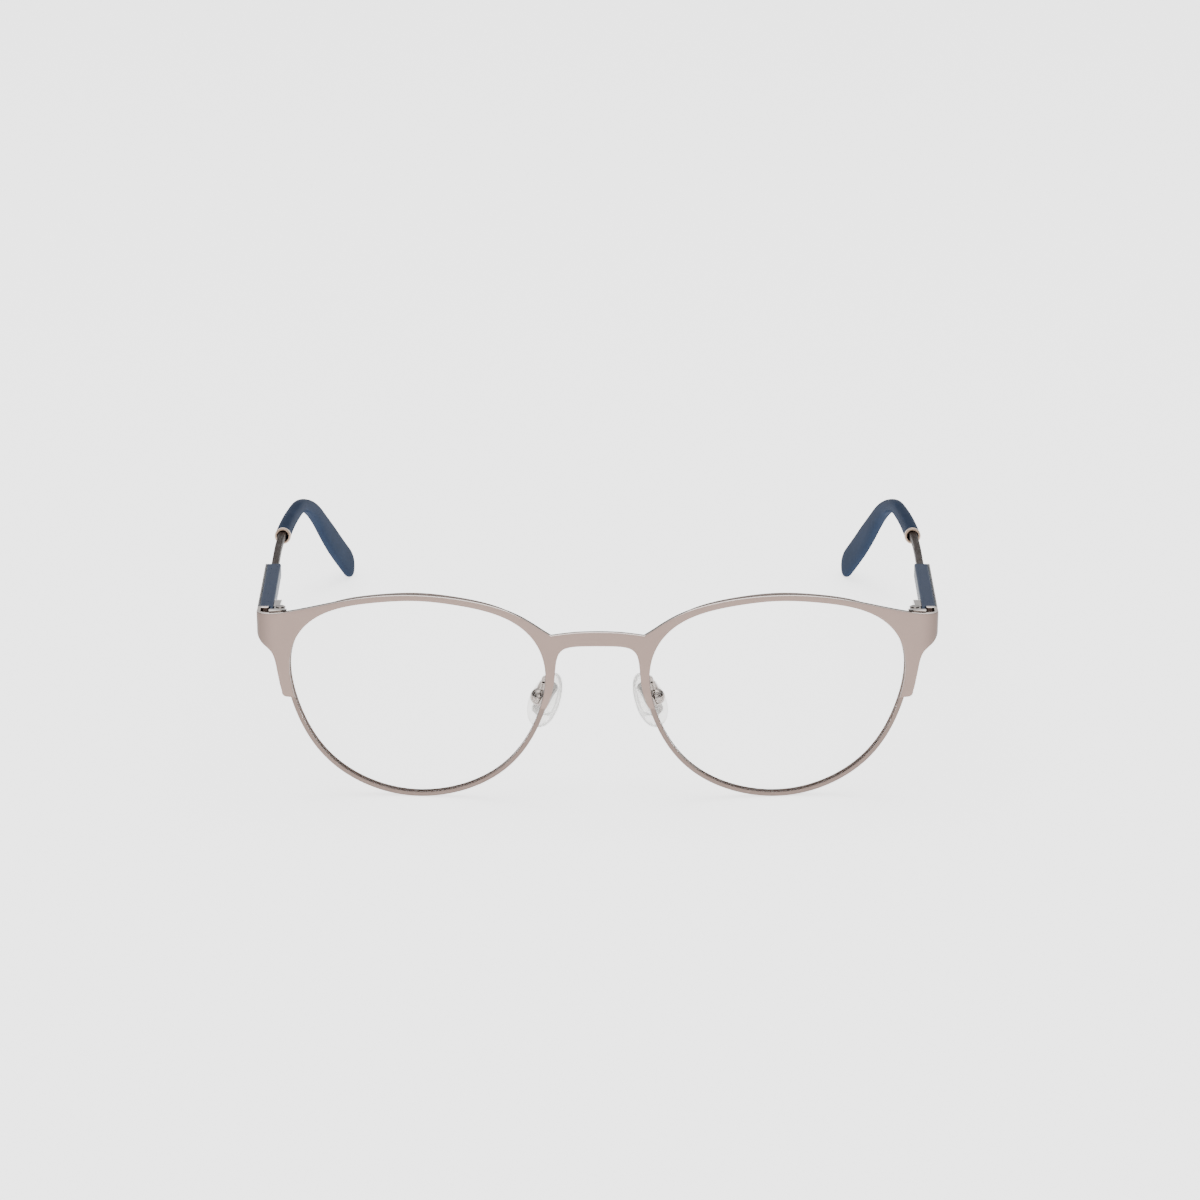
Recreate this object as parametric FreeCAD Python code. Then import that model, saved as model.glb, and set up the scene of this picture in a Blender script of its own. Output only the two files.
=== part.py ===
import FreeCAD, Part
import math
import os

from FreeCAD import Vector as V, Matrix

os.makedirs("parts", exist_ok=True)

# ---------------------------------------------------------------------------
# Eyeglasses with a stamped browline front, thin grooved eyewires and slim
# temples with sleeved ear tips. Millimetres. +Z up, glasses resting on a
# table on the two eyewires and the two tips, X across (wearer's left is +X),
# Y from the front towards the tips. Origin: middle of the footprint, on the
# table.
#
# Three construction frames are used:
#   front frame  (x, n, w): n rearwards from the front, w up along the front
#   temple frame (x, t, h): t along the temple from the hinge axis, h up
#   pad frame    (m, p, l): m across the pad, p out of its face, l along it
# ---------------------------------------------------------------------------

# ---- driving dimensions ----
FRONT_TILT = 4.0        # degrees, foot of the front leans back on the table
FRONT_R = 500.0         # radius of the front's wrap, seen from above
SHEET = 0.8             # thickness of the stamped front plate
HALF_FRONT = 68.55      # half of the overall front width
END_R2 = 14.0           # gentle bend before the endpiece's corner
END_A2 = 22.0           # degrees turned when the tight bend begins
END_R3 = 1.5            # tight bend of the endpiece, outside
WALL_N = 8.9            # rear face of the endpiece's return
RETURN_X = 66.25        # inner end of the return
RETURN_R = 1.0          # outside bend of the return

# lens outline: boxing centre and polar Fourier terms of the eyewire's outside
LENS_CX, LENS_CW = 36.2, 22.0
POLAR = [24.6294, -0.1401, 1.324, 2.141, -0.0166, 0.0393, 1.2948, -0.3929,
         -0.0274, 0.022, 0.2061, -0.2127, 0.0116, 0.0109, -0.0394]
RIM_FACE = 1.0          # radial width of the eyewire's front face
RIM_DEPTH = 1.5         # front-to-back depth of the eyewire
GROOVE_DEPTH = 0.5
GROOVE_W = 0.7
LENS_R = 150.0          # lens curve
LENS_T = 1.6
TONGUE_T = 0.6          # lens edge that sits in the groove
TONGUE_OUT = 0.38       # how far the lens edge reaches past the opening

# eyewire lock
LOCK_W = 33.5           # height of the split
LOCK_GAP = 0.12
LOCK_H = 1.9            # height of each block
LOCK_X = 64.45          # outer side of the blocks
LOCK_DEPTH = 2.0
LOCK_SCREW_X = 63.45
LOCK_SCREW_R = 0.45

# hinge
HINGE_X, HINGE_N, HINGE_W = 63.85, 7.1, 37.9
TEMPLE_SLOPE = 4.45     # degrees the temple falls towards the tips
KNUCKLE_R = 1.1
KNUCKLE_MID = 0.85      # half height of the middle knuckle
KNUCKLE_GAP = 0.10
KNUCKLE_END = 1.0       # height of each outer knuckle
HINGE_HOLE_R = 0.70
HINGE_SCREW_R = 0.65

# temple, measured along its own length from the hinge axis
TEMPLE_L = 143.5
TEMPLE_X0 = 66.70       # centre line's x at the hinge
TEMPLE_SPLAY = 0.034
BEND_T, BEND_A, BEND_R = 104.0, 38.3, 39.8
INWARD_Q, INWARD_T = 1.625e-3, 51.7
CORE_HALF = 0.75
BLOCK_END = 36.5
BLOCK_HALF_X, BLOCK_HALF_H = 1.45, 1.5
TRIM_T = 0.35
TIP_START = 68.5
TIP_A = (1.62, 1.08)    # half thickness of the tip, front and rear
TIP_B = (1.75, 1.50, 3.60)  # half height of the tip: mouth, bend, rear
TIP_DROP = 0.28         # the tip hangs this much below the core's line
CORE_END = 126.0
MOUTH_R = 1.40          # bore of the tip's mouth and of its collar
COLLAR_R = 1.76

# nose pads
PAD_C = (10.6, 7.8, 19.1)   # pad's middle in the front frame (x, n, w)
PAD_FRONTAL = 25.0
PAD_SPLAY = 42.0
PAD_LEN, PAD_WID, PAD_THK = 12.4, 7.6, 2.3
BOX_L = 1.1             # box's place along the pad, above its middle
BOX_P = -2.85           # screw's place behind the pad's middle plane
BOX_M = -0.8            # box's place across the pad
CUP_R = 1.85            # round cup of the pad box
PAD_SCREW_R = 0.28
ARM_R = 0.52

# ---- small helpers ----


def rot_x(deg):
    a = math.radians(deg)
    m = Matrix()
    m.A22, m.A23 = math.cos(a), -math.sin(a)
    m.A32, m.A33 = math.sin(a), math.cos(a)
    return m


def moved(shape, m):
    s = shape.copy()
    return s.transformGeometry(m) if False else s.transformed(m)


def mirror(shape):
    return shape.mirror(V(0, 0, 0), V(1, 0, 0))


def one_solid(shape, name):
    if len(shape.Solids) != 1:
        print("WARNING %s has %d solids" % (name, len(shape.Solids)))
    s = shape.Solids[0] if len(shape.Solids) == 1 else shape
    if not s.isValid():
        print("WARNING %s is not valid" % name)
    return s


def box(x0, x1, y0, y1, z0, z1):
    return Part.makeBox(x1 - x0, y1 - y0, z1 - z0, V(x0, y0, z0))


def n_front(x):
    return FRONT_R - math.sqrt(FRONT_R * FRONT_R - x * x)


# ---- lens outline ----


def rim_point(a, inset):
    """Point of the lens outline at polar angle a, moved inwards by inset."""
    r = POLAR[0]
    dr = 0.0
    for k in range(1, 8):
        ck, sk = POLAR[2 * k - 1], POLAR[2 * k]
        r += ck * math.cos(k * a) + sk * math.sin(k * a)
        dr += k * (-ck * math.sin(k * a) + sk * math.cos(k * a))
    x, w = r * math.cos(a), r * math.sin(a)
    tx = dr * math.cos(a) - r * math.sin(a)
    tw = dr * math.sin(a) + r * math.cos(a)
    q = math.hypot(tx, tw)
    nx, nw = tw / q, -tx / q          # outward normal
    x, w = x - nx * inset, w - nw * inset
    return LENS_CX - x, LENS_CW + w   # temple side at larger x


def rim_prism(inset, n0=-6.0, n1=14.0, count=72):
    pts = [V(*(lambda p: (p[0], n0, p[1]))(rim_point(2 * math.pi * i / count, inset)))
           for i in range(count)]
    c = Part.BSplineCurve()
    c.interpolate(Points=pts, PeriodicFlag=True)
    f = Part.Face(Part.Wire([c.toShape()]))
    return f.extrude(V(0, n1 - n0, 0))


def shell_between(d0, d1):
    """Space between two depths behind the plate's front face."""
    big = Part.makeCylinder(FRONT_R - d0, 70, V(0, FRONT_R, -10), V(0, 0, 1))
    small = Part.makeCylinder(FRONT_R - d1, 80, V(0, FRONT_R, -15), V(0, 0, 1))
    blank = box(-2, 80, -20, 40, -8, 58)
    return big.common(blank).cut(small)


# ---- front plate ----


def bent_sheet():
    """Half of the bent sheet: its section seen from above, raised along w."""
    def path(off):
        p = [(0.0, 0.0)]
        segs = []
        x_end3 = HALF_FRONT - END_R3 * (1 - math.sin(math.radians(END_A2)))
        # first angle from the width left for the gentle bend
        phi1 = math.asin((x_end3 - END_R2 * math.sin(math.radians(END_A2)))
                         / (FRONT_R - END_R2))
        angs = [0.0, phi1, math.radians(END_A2), math.pi / 2]
        rads = [FRONT_R, END_R2, END_R3]
        cx, cn = 0.0, FRONT_R
        for i, r in enumerate(rads):
            a0, a1 = angs[i], angs[i + 1]
            if i:
                # centre moves along the normal at a0 by the change of radius
                d = rads[i - 1] - r
                cx += d * math.sin(a0)
                cn -= d * math.cos(a0)
            rr = r - off
            pt = lambda a: V(cx + rr * math.sin(a), cn - rr * math.cos(a), 0)
            segs.append(Part.Arc(pt(a0), pt((a0 + a1) / 2), pt(a1)).toShape())
            last = pt(a1)
        n_top = WALL_N - RETURN_R
        q = V(last.x, n_top, 0)
        segs.append(Part.LineSegment(last, q).toShape())
        rr = RETURN_R - off
        c = V(HALF_FRONT - RETURN_R, n_top, 0)
        e = V(c.x, n_top + rr, 0)
        k = math.sqrt(0.5) * rr
        segs.append(Part.Arc(q, V(c.x + k, c.y + k, 0), e).toShape())
        z = V(RETURN_X, n_top + rr, 0)
        segs.append(Part.LineSegment(e, z).toShape())
        return segs, z
    outer, z0 = path(0.0)
    inner, z1 = path(SHEET)
    edges = outer + [Part.LineSegment(z0, z1).toShape()] + list(reversed(inner)) \
        + [Part.LineSegment(V(0, SHEET, 0), V(0, 0, 0)).toShape()]
    wire = Part.Wire(Part.__sortEdges__(edges))
    return Part.Face(wire).extrude(V(0, 0, 60))


BRIDGE_TOP = [(0, 37.44), (2.3, 37.40), (4.6, 37.27), (7.0, 36.98), (9.3, 36.62)]
BROW_TOP = [(9.3, 36.62), (11, 37.75), (13, 39.15), (15.5, 40.68), (18.5, 42.03), (22, 43.13),
            (26, 43.98), (30, 44.53), (34, 44.82), (38, 44.85), (42, 44.61),
            (46, 44.09), (50, 43.31), (54, 42.32), (58, 41.25), (61.5, 40.37),
            (65, 39.69), (68.6, 39.44), (71, 39.40)]
END_LOW = [(71, 34.40), (68.55, 34.40), (68.25, 33.75), (67.55, 32.80), (66.55, 31.95),
           (65.75, 31.10), (65.25, 30.0), (64.95, 28.75), (64.70, 27.2),
           (64.42, 25.5), (64.15, 23.9), (63.85, 22.6)]
LEG_LOW = [(0, 34.31), (3.9, 34.22), (5.6, 34.00), (6.9, 33.50), (7.75, 32.55),
           (8.15, 31.4), (8.38, 30.0), (8.52, 28.4), (8.66, 27.0), (8.82, 25.6),
           (9.10, 24.1), (9.50, 22.6), (9.98, 21.3), (10.42, 20.2)]


def spline(pts, n=-6.0):
    c = Part.BSplineCurve()
    c.interpolate([V(x, n, w) for x, w in pts])
    return c.toShape()


def line(a, b, n=-6.0):
    return Part.LineSegment(V(a[0], n, a[1]), V(b[0], n, b[1])).toShape()


def plate_half():
    drop_end = [(63.85, 22.6), (63.55, 21.75), (62.85, 21.40)]
    edges = [spline(BRIDGE_TOP), spline(BROW_TOP)]
    edges.append(line((71, 39.40), END_LOW[0]))
    edges.append(line(END_LOW[0], END_LOW[1]))
    edges.append(spline(END_LOW[1:]))
    edges.append(Part.Arc(V(63.85, -6, 22.6), V(63.58, -6, 21.78), V(62.85, -6, 21.40)).toShape())
    inside = [drop_end[2], (58, 21.4), (50, 24), (50, 36), (20, 36), (20, 20.2), LEG_LOW[-1]]
    for a, b in zip(inside[:-1], inside[1:]):
        edges.append(line(a, b))
    edges.append(spline(LEG_LOW))
    edges.append(line(LEG_LOW[0], BRIDGE_TOP[0]))
    wire = Part.Wire(Part.__sortEdges__(edges))
    prism = Part.Face(wire).extrude(V(0, 22, 0))
    prism = prism.cut(rim_prism(RIM_FACE, -8, 18))
    half = bent_sheet().common(prism)
    # the legs' lower ends feather out on the eyewires
    wedge = Part.Face(Part.makePolygon([V(8, -1, 23.8), V(8, -1, 19), V(8, 0.75, 19),
                                        V(8, 0.72, 20.1), V(8, 0.08, 23.6), V(8, -1, 23.8)]))
    return half.cut(wedge.extrude(V(6, 0, 0)))


# ---- build, front frame: local (x, n, w) is written as (X, Y, Z) ----
nodes = {}

half = plate_half()
half_m = mirror(half)
plate = half.fuse(half_m).removeSplitter()
plate = one_solid(plate, "front_plate")
nodes["front_plate"] = ("front", plate)

outer_prism = rim_prism(0.0)
ring = outer_prism.cut(rim_prism(RIM_FACE, -8, 16))
rim = ring.common(shell_between(SHEET, SHEET + RIM_DEPTH))

# lens curve: one sphere centre for the lens and the groove
mid_depth = SHEET + RIM_DEPTH / 2
a_l = math.asin(LENS_CX / FRONT_R)
axis = V(-math.sin(a_l), math.cos(a_l), 0)
edge_sag = LENS_R - math.sqrt(LENS_R ** 2 - 21.4 ** 2)
vertex = V(LENS_CX, n_front(LENS_CX), LENS_CW) + axis * (mid_depth - edge_sag)
sphere_c = vertex + axis * LENS_R


def sphere_shell(t):
    o = Part.makeSphere(LENS_R + t / 2, sphere_c)
    i = Part.makeSphere(LENS_R - t / 2, sphere_c)
    blank = box(2, 75, -8, 16, -8, 52)
    return o.common(blank).cut(i)


groove = rim_prism(RIM_FACE - GROOVE_DEPTH, -7, 15).common(sphere_shell(GROOVE_W))
rim = rim.cut(groove)
rim = rim.cut(box(58, 70, -5, 20, LOCK_W - LOCK_GAP / 2, LOCK_W + LOCK_GAP / 2))
n_lock = n_front(LOCK_SCREW_X) + SHEET + LOCK_DEPTH / 2
z_head = LOCK_W - LOCK_GAP / 2 - LOCK_H
# room for the lock screw's shank and head beside the wire
rim = rim.cut(Part.makeCylinder(LOCK_SCREW_R + 0.04, 4.0, V(LOCK_SCREW_X, n_lock, z_head - 0.1), V(0, 0, 1)))
rim = rim.cut(Part.makeCylinder(0.80, 0.65, V(LOCK_SCREW_X, n_lock, z_head - 0.6), V(0, 0, 1)))
rim = one_solid(rim, "eyewire")
nodes["left_eyewire"] = ("front", rim)

lens = rim_prism(RIM_FACE + 0.04, -7, 15).common(sphere_shell(LENS_T))
tongue = rim_prism(RIM_FACE - TONGUE_OUT, -7, 15).common(sphere_shell(TONGUE_T))
lens = one_solid(lens.fuse(tongue).removeSplitter(), "lens")
nodes["left_lens"] = ("front", lens)

# eyewire lock: two blocks and their screw
behind = Part.makeCylinder(FRONT_R - SHEET, 70, V(0, FRONT_R, -10), V(0, 0, 1))


def lock(z0, z1, hole_r):
    b = box(61.0, LOCK_X, 3.0, n_front(LOCK_X) + SHEET + LOCK_DEPTH, z0, z1)
    b = b.common(behind.common(box(50, 80, -5, 30, 20, 50))).cut(outer_prism).cut(plate)
    b = b.cut(Part.makeCylinder(hole_r, 10, V(LOCK_SCREW_X, n_lock, z0 - 2), V(0, 0, 1)))
    return b


lock_up = lock(LOCK_W + LOCK_GAP / 2, LOCK_W + LOCK_GAP / 2 + LOCK_H, LOCK_SCREW_R + 0.02)
lock_lo = lock(LOCK_W - LOCK_GAP / 2 - LOCK_H, LOCK_W - LOCK_GAP / 2, LOCK_SCREW_R + 0.06)
nodes["left_lock_block_upper"] = ("front", one_solid(lock_up, "lock_up"))
nodes["left_lock_block_lower"] = ("front", one_solid(lock_lo, "lock_lo"))
screw = Part.makeCylinder(LOCK_SCREW_R, 3.7, V(LOCK_SCREW_X, n_lock, z_head), V(0, 0, 1))
head = Part.makeCylinder(0.75, 0.5, V(LOCK_SCREW_X, n_lock, z_head - 0.5), V(0, 0, 1))
slot = box(LOCK_SCREW_X - 1, LOCK_SCREW_X + 1, n_lock - 0.11, n_lock + 0.11, z_head - 0.6, z_head - 0.3)
nodes["left_lock_screw"] = ("front", one_solid(screw.fuse(head).cut(slot).removeSplitter(), "lock_screw"))

# ---- hinge frame: local (x, t, h), origin on the hinge axis ----
TOTAL = TEMPLE_SLOPE + FRONT_TILT
to_front = rot_x(-TOTAL)
hinge_shift = Matrix()
hinge_shift.move(V(0, HINGE_N, HINGE_W))


def temple_to_front(shape):
    return shape.transformed(hinge_shift.multiply(to_front))


def front_to_temple(shape):
    inv = hinge_shift.multiply(to_front).inverse()
    return shape.transformed(inv)


plate_t = front_to_temple(plate)
behind_t = front_to_temple(behind.common(box(40, 80, -5, 40, 20, 60)))

H1 = KNUCKLE_MID + KNUCKLE_GAP
H2 = H1 + KNUCKLE_END
base = box(62.35, 65.95, -3.6, -1.6, -H2, H2)
knuckles = None
for s in (1, -1):
    z0 = H1 if s > 0 else -H2
    disc = Part.makeCylinder(KNUCKLE_R, KNUCKLE_END, V(HINGE_X, 0, z0), V(0, 0, 1))
    foot = box(HINGE_X - KNUCKLE_R, HINGE_X + KNUCKLE_R, -2.6, 0, z0, z0 + KNUCKLE_END)
    k = disc.fuse(foot)
    knuckles = k if knuckles is None else knuckles.fuse(k)
hf = base.fuse(knuckles).removeSplitter()
hf = hf.common(behind_t).cut(plate_t)
hf = hf.cut(Part.makeCylinder(HINGE_HOLE_R, 3, V(HINGE_X, 0, 0), V(0, 0, 1)))
hf = hf.cut(Part.makeCylinder(HINGE_SCREW_R + 0.02, 3, V(HINGE_X, 0, -3), V(0, 0, 1)))
hf = hf.cut(Part.makeCylinder(0.92, 1, V(HINGE_X, 0, H2 - 0.45), V(0, 0, 1)))
nodes["left_hinge_front"] = ("hinge", one_solid(hf, "hinge_front"))

hs = Part.makeCylinder(HINGE_SCREW_R, 2 * H2 - 0.05, V(HINGE_X, 0, -H2 + 0.05), V(0, 0, 1))
hs = hs.fuse(Part.makeCylinder(0.90, 0.60, V(HINGE_X, 0, H2 - 0.44), V(0, 0, 1)))
hs = hs.cut(box(HINGE_X - 1, HINGE_X + 1, -0.13, 0.13, H2 - 0.12, H2 + 1))
nodes["left_hinge_screw"] = ("hinge", one_solid(hs.removeSplitter(), "hinge_screw"))


def temple_x(t):
    return TEMPLE_X0 + TEMPLE_SPLAY * t - INWARD_Q * max(0.0, t - INWARD_T) ** 2


def temple_frame(t):
    """Centre of the temple's line and its local up direction at length t."""
    a = math.radians(BEND_A)
    ta = BEND_T - BEND_R * math.tan(a / 2)
    arc = BEND_R * a
    if t <= ta:
        y, h, ang = t, 0.0, 0.0
    elif t <= ta + arc:
        ang = (t - ta) / BEND_R
        y = ta + BEND_R * math.sin(ang)
        h = -BEND_R * (1 - math.cos(ang))
    else:
        ang = a
        rest = t - ta - arc
        y = ta + BEND_R * math.sin(a) + rest * math.cos(a)
        h = -BEND_R * (1 - math.cos(a)) - rest * math.sin(a)
    up = V(0, math.sin(ang), math.cos(ang))
    return V(temple_x(t), y, h), up


# block, with its bore for the core
splay = math.degrees(math.atan(TEMPLE_SPLAY))


def along(shape):
    """Lay a shape drawn about x = 0 along the splayed centre line."""
    s = shape.copy()
    s.rotate(V(0, 0, 0), V(0, 0, 1), -splay)
    s.translate(V(TEMPLE_X0, 0, 0))
    return s


end_cut_front = front_to_temple(box(66.02, 80, -20, WALL_N + 0.16, 20, 60))
end_cut_inner = front_to_temple(box(50, 66.03, -20, HINGE_N - 0.35, 20, 60))
blk = box(-BLOCK_HALF_X, BLOCK_HALF_X, -4, BLOCK_END, -BLOCK_HALF_H, BLOCK_HALF_H)
blk = blk.makeFillet(0.35, [e for e in blk.Edges if abs(e.Vertexes[0].Point.y - e.Vertexes[1].Point.y) > 5])
blk = blk.cut(box(-CORE_HALF - 0.02, CORE_HALF + 0.02, 4.0, BLOCK_END + 1, -CORE_HALF - 0.02, CORE_HALF + 0.02))
blk = along(blk)
# clear of the endpiece's return, and of the hinge's front leaf
blk = blk.cut(end_cut_front).cut(end_cut_inner).cut(box(65.92, 66.10, -8, 1.9, -5, 5))
nodes["left_temple_block"] = ("temple", one_solid(blk, "temple_block"))

trim = box(BLOCK_HALF_X, BLOCK_HALF_X + TRIM_T, -4, BLOCK_END + TRIM_T, -BLOCK_HALF_H + 0.1, BLOCK_HALF_H - 0.1)
cap = box(-BLOCK_HALF_X + 0.1, BLOCK_HALF_X + TRIM_T, BLOCK_END, BLOCK_END + TRIM_T, -BLOCK_HALF_H + 0.1, BLOCK_HALF_H - 0.1)
trim = trim.fuse(cap).removeSplitter()
trim = trim.cut(box(-CORE_HALF - 0.02, CORE_HALF + 0.02, 4.0, BLOCK_END + 3, -CORE_HALF - 0.02, CORE_HALF + 0.02))
trim = along(trim).cut(end_cut_front)
nodes["left_block_trim"] = ("temple", one_solid(trim, "block_trim"))

# hinge leaf on the temple
leaf = box(HINGE_X + 0.15, 65.4, 1.5, 6.4, -1.65, 1.65)
lobe = Part.makeCylinder(1.65, 65.4 - HINGE_X - 0.15, V(HINGE_X + 0.15, 6.4, 0), V(1, 0, 0))
knuckle = Part.makeCylinder(KNUCKLE_R, 2 * KNUCKLE_MID, V(HINGE_X, 0, -KNUCKLE_MID), V(0, 0, 1))
neck = box(HINGE_X - 0.35, 65.4, 0, 2.2, -KNUCKLE_MID, KNUCKLE_MID)
ht = leaf.fuse(lobe).fuse(neck).fuse(knuckle).removeSplitter()
ht = ht.cut(Part.makeCylinder(HINGE_HOLE_R, 4, V(HINGE_X, 0, -2), V(0, 0, 1)))
solid_block = along(box(-BLOCK_HALF_X, BLOCK_HALF_X + 3, -8, BLOCK_END, -4, 4))
ht = ht.cut(solid_block)
nodes["left_hinge_temple"] = ("temple", one_solid(ht, "hinge_temple"))


def section_wire(c, up, half_a, half_b, square):
    right = V(1, 0, 0)
    if square:
        pts = [c + right * sx * half_a + up * sz * half_b
               for sx, sz in ((-1, -1), (1, -1), (1, 1), (-1, 1))]
        return Part.makePolygon(pts + [pts[0]])
    e = 2.35
    pts = []
    for i in range(24):
        a = 2 * math.pi * i / 24
        ca, sa = math.cos(a), math.sin(a)
        pts.append(c + right * half_a * math.copysign(abs(ca) ** (2 / e), ca)
                   + up * half_b * math.copysign(abs(sa) ** (2 / e), sa))
    b = Part.BSplineCurve()
    b.interpolate(Points=pts, PeriodicFlag=True)
    return Part.Wire([b.toShape()])


def core_stations(t0, t1):
    ta = [t0] + [t for t in (51, 56, 61, 66, 70, 75, 80, 85, 90, 92.5, 95, 97.5, 100, 102.5,
                             105, 107.5, 110, 112.5, 115, 117.5, 121) if t0 < t < t1] + [t1]
    return ta


def core_loft(t0, t1, half, shift=0.0):
    wires = []
    for t in core_stations(t0, t1):
        c, up = temple_frame(t)
        wires.append(section_wire(c + up * shift, up, half, half, True))
    return Part.makeLoft(wires, True, True)


core = core_loft(4.0, CORE_END, CORE_HALF)
nodes["left_temple_core"] = ("temple", one_solid(core, "temple_core"))


def tip_dims(t):
    u = min(1.0, max(0.0, (t - 66.0) / 79.0))
    if t < 102.0:
        v = max(0.0, (t - TIP_START) / (102.0 - TIP_START))
        b = TIP_B[0] + (TIP_B[1] - TIP_B[0]) * v * v * (3 - 2 * v)
    else:
        v = min(1.0, (t - 102.0) / 26.0)
        b = TIP_B[1] + (TIP_B[2] - TIP_B[1]) * (0.35 * v + 0.65 * v * v * (3 - 2 * v))
    return TIP_A[0] + (TIP_A[1] - TIP_A[0]) * u, b


def tip_loft():
    st = [TIP_START, 72, 76, 80, 84, 87, 90, 92.5, 95, 97.5, 100, 102.5, 105, 107.5, 110,
          112.5, 115, 117.5, 120.5, 124, 128, 132, 135.5, 138.3]
    st += [TEMPLE_L - 4.2 + d for d in (0.0, 1.3, 2.3, 3.1, 3.7, 4.02)]
    wires = []
    for t in st:
        c, up = temple_frame(t)
        a, b = tip_dims(t)
        k = 1.0
        if t > TEMPLE_L - 4.2:
            k = math.sqrt(max(0.0, 1 - ((t - TEMPLE_L + 4.2) / 4.2) ** 2))
        ka = 1.0 if t < TEMPLE_L - 2.5 else math.sqrt(max(0.02, 1 - ((t - TEMPLE_L + 2.5) / 2.6) ** 2))
        drop = TIP_DROP * (1 - min(1.0, (t - TIP_START) / 12.0))
        wires.append(section_wire(c - up * drop, up, a * max(ka, 0.35), b * max(k, 0.2), False))
    return Part.makeLoft(wires, True, False)


tip = tip_loft()
bore = core_loft(TIP_START - 3.0, CORE_END + 0.6, CORE_HALF + 0.03)
tip = tip.cut(bore)
c0, up0 = temple_frame(TIP_START)
mouth = Part.makeCylinder(MOUTH_R, 3.2, V(0, 0, 0), V(0, 1, 0))
mouth.translate(V(c0.x, TIP_START - 0.6, -TIP_DROP))
tip = tip.cut(mouth)
nodes["left_temple_tip"] = ("temple", one_solid(tip, "temple_tip"))

col = Part.makeCylinder(COLLAR_R, 1.1, V(0, 0, 0), V(0, 1, 0)).cut(
    Part.makeCylinder(MOUTH_R, 3, V(0, -1, 0), V(0, 1, 0)))
col.translate(V(c0.x, TIP_START - 1.1, -TIP_DROP))
nodes["left_tip_collar"] = ("temple", one_solid(col, "tip_collar"))

# ---- nose pads ----
fa, sa_ = math.radians(PAD_FRONTAL), math.radians(PAD_SPLAY)
# directions in the front frame for the pad at +X
l_dir = V(-math.sin(fa), 0, math.cos(fa))
m0 = V(math.sin(sa_), math.cos(sa_), 0)
m_dir = m0 - l_dir * m0.dot(l_dir)
m_dir.normalize()
p_dir = m_dir.cross(l_dir)
p_dir.normalize()
if p_dir.x > 0:
    p_dir = p_dir * -1
pad_c = V(*PAD_C)


def pad_place(shape):
    """Pad frame: X = m, Y = p, Z = l, origin at the pad's middle."""
    m = Matrix(m_dir.x, p_dir.x, l_dir.x, pad_c.x,
               m_dir.y, p_dir.y, l_dir.y, pad_c.y,
               m_dir.z, p_dir.z, l_dir.z, pad_c.z,
               0, 0, 0, 1)
    return shape.transformed(m)


flip = m_dir.cross(p_dir).dot(l_dir)
print("pad frame handedness %.3f" % flip)
if flip < 0:
    m_dir = m_dir * -1


def pad_outline(k, y):
    """Teardrop outline, wider below."""
    pts = []
    for i in range(20):
        a = 2 * math.pi * i / 20
        z = math.sin(a) * PAD_LEN / 2 * k
        wide = PAD_WID / 2 * (1.0 - 0.16 * math.sin(a)) * k
        pts.append(V(math.cos(a) * wide, y, z))
    b = Part.BSplineCurve()
    b.interpolate(Points=pts, PeriodicFlag=True)
    return Part.Wire([b.toShape()])


pad = Part.makeLoft([pad_outline(0.62, -PAD_THK / 2), pad_outline(0.86, -PAD_THK / 2 + 0.25),
                     pad_outline(0.98, -PAD_THK / 2 + 0.8), pad_outline(1.0, 0.05),
                     pad_outline(0.96, 0.55), pad_outline(0.80, 0.95), pad_outline(0.5, PAD_THK / 2)],
                    True, False)
ins_box = box(-1.7, 1.7, -0.55, 0.0, -3.6, 4.4)
ins_box = ins_box.makeFillet(0.9, [e for e in ins_box.Edges if abs(e.Vertexes[0].Point.y - e.Vertexes[1].Point.y) > 0.3])
lug_y = BOX_P - 0.52
lug = box(BOX_M - 0.42, BOX_M + 0.42, lug_y, -0.3, BOX_L - 0.55, BOX_L + 0.55)
insert = ins_box.fuse(lug).removeSplitter()
pin_hole = Part.makeCylinder(PAD_SCREW_R + 0.04, 8, V(-4, BOX_P, BOX_L), V(1, 0, 0))
insert_cut = insert.copy()
insert = insert.cut(pin_hole)
pad = pad.cut(insert_cut)
nodes["left_nose_pad"] = ("pad", one_solid(pad, "nose_pad"))
nodes["left_pad_insert"] = ("pad", one_solid(insert, "pad_insert"))

CUP_C = V(BOX_M, BOX_P - 0.22, BOX_L)
CUP_SIDE = 1.62
# a ball turned about the screw's axis, cut open towards the pad
r_side = math.sqrt(CUP_R ** 2 - CUP_SIDE ** 2)


def cup_ball(y_open):
    arc = Part.Arc(V(-CUP_SIDE, r_side, 0), V(0, CUP_R, 0), V(CUP_SIDE, r_side, 0)).toShape()
    rest = Part.makePolygon([V(CUP_SIDE, r_side, 0), V(CUP_SIDE, 0, 0), V(-CUP_SIDE, 0, 0), V(-CUP_SIDE, r_side, 0)])
    b = Part.Face(Part.Wire([arc] + rest.Edges)).revolve(V(0, 0, 0), V(1, 0, 0), 360)
    b.translate(CUP_C)
    return b.common(box(-5, 5, BOX_P - 2.4, y_open, -5, 7))


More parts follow.
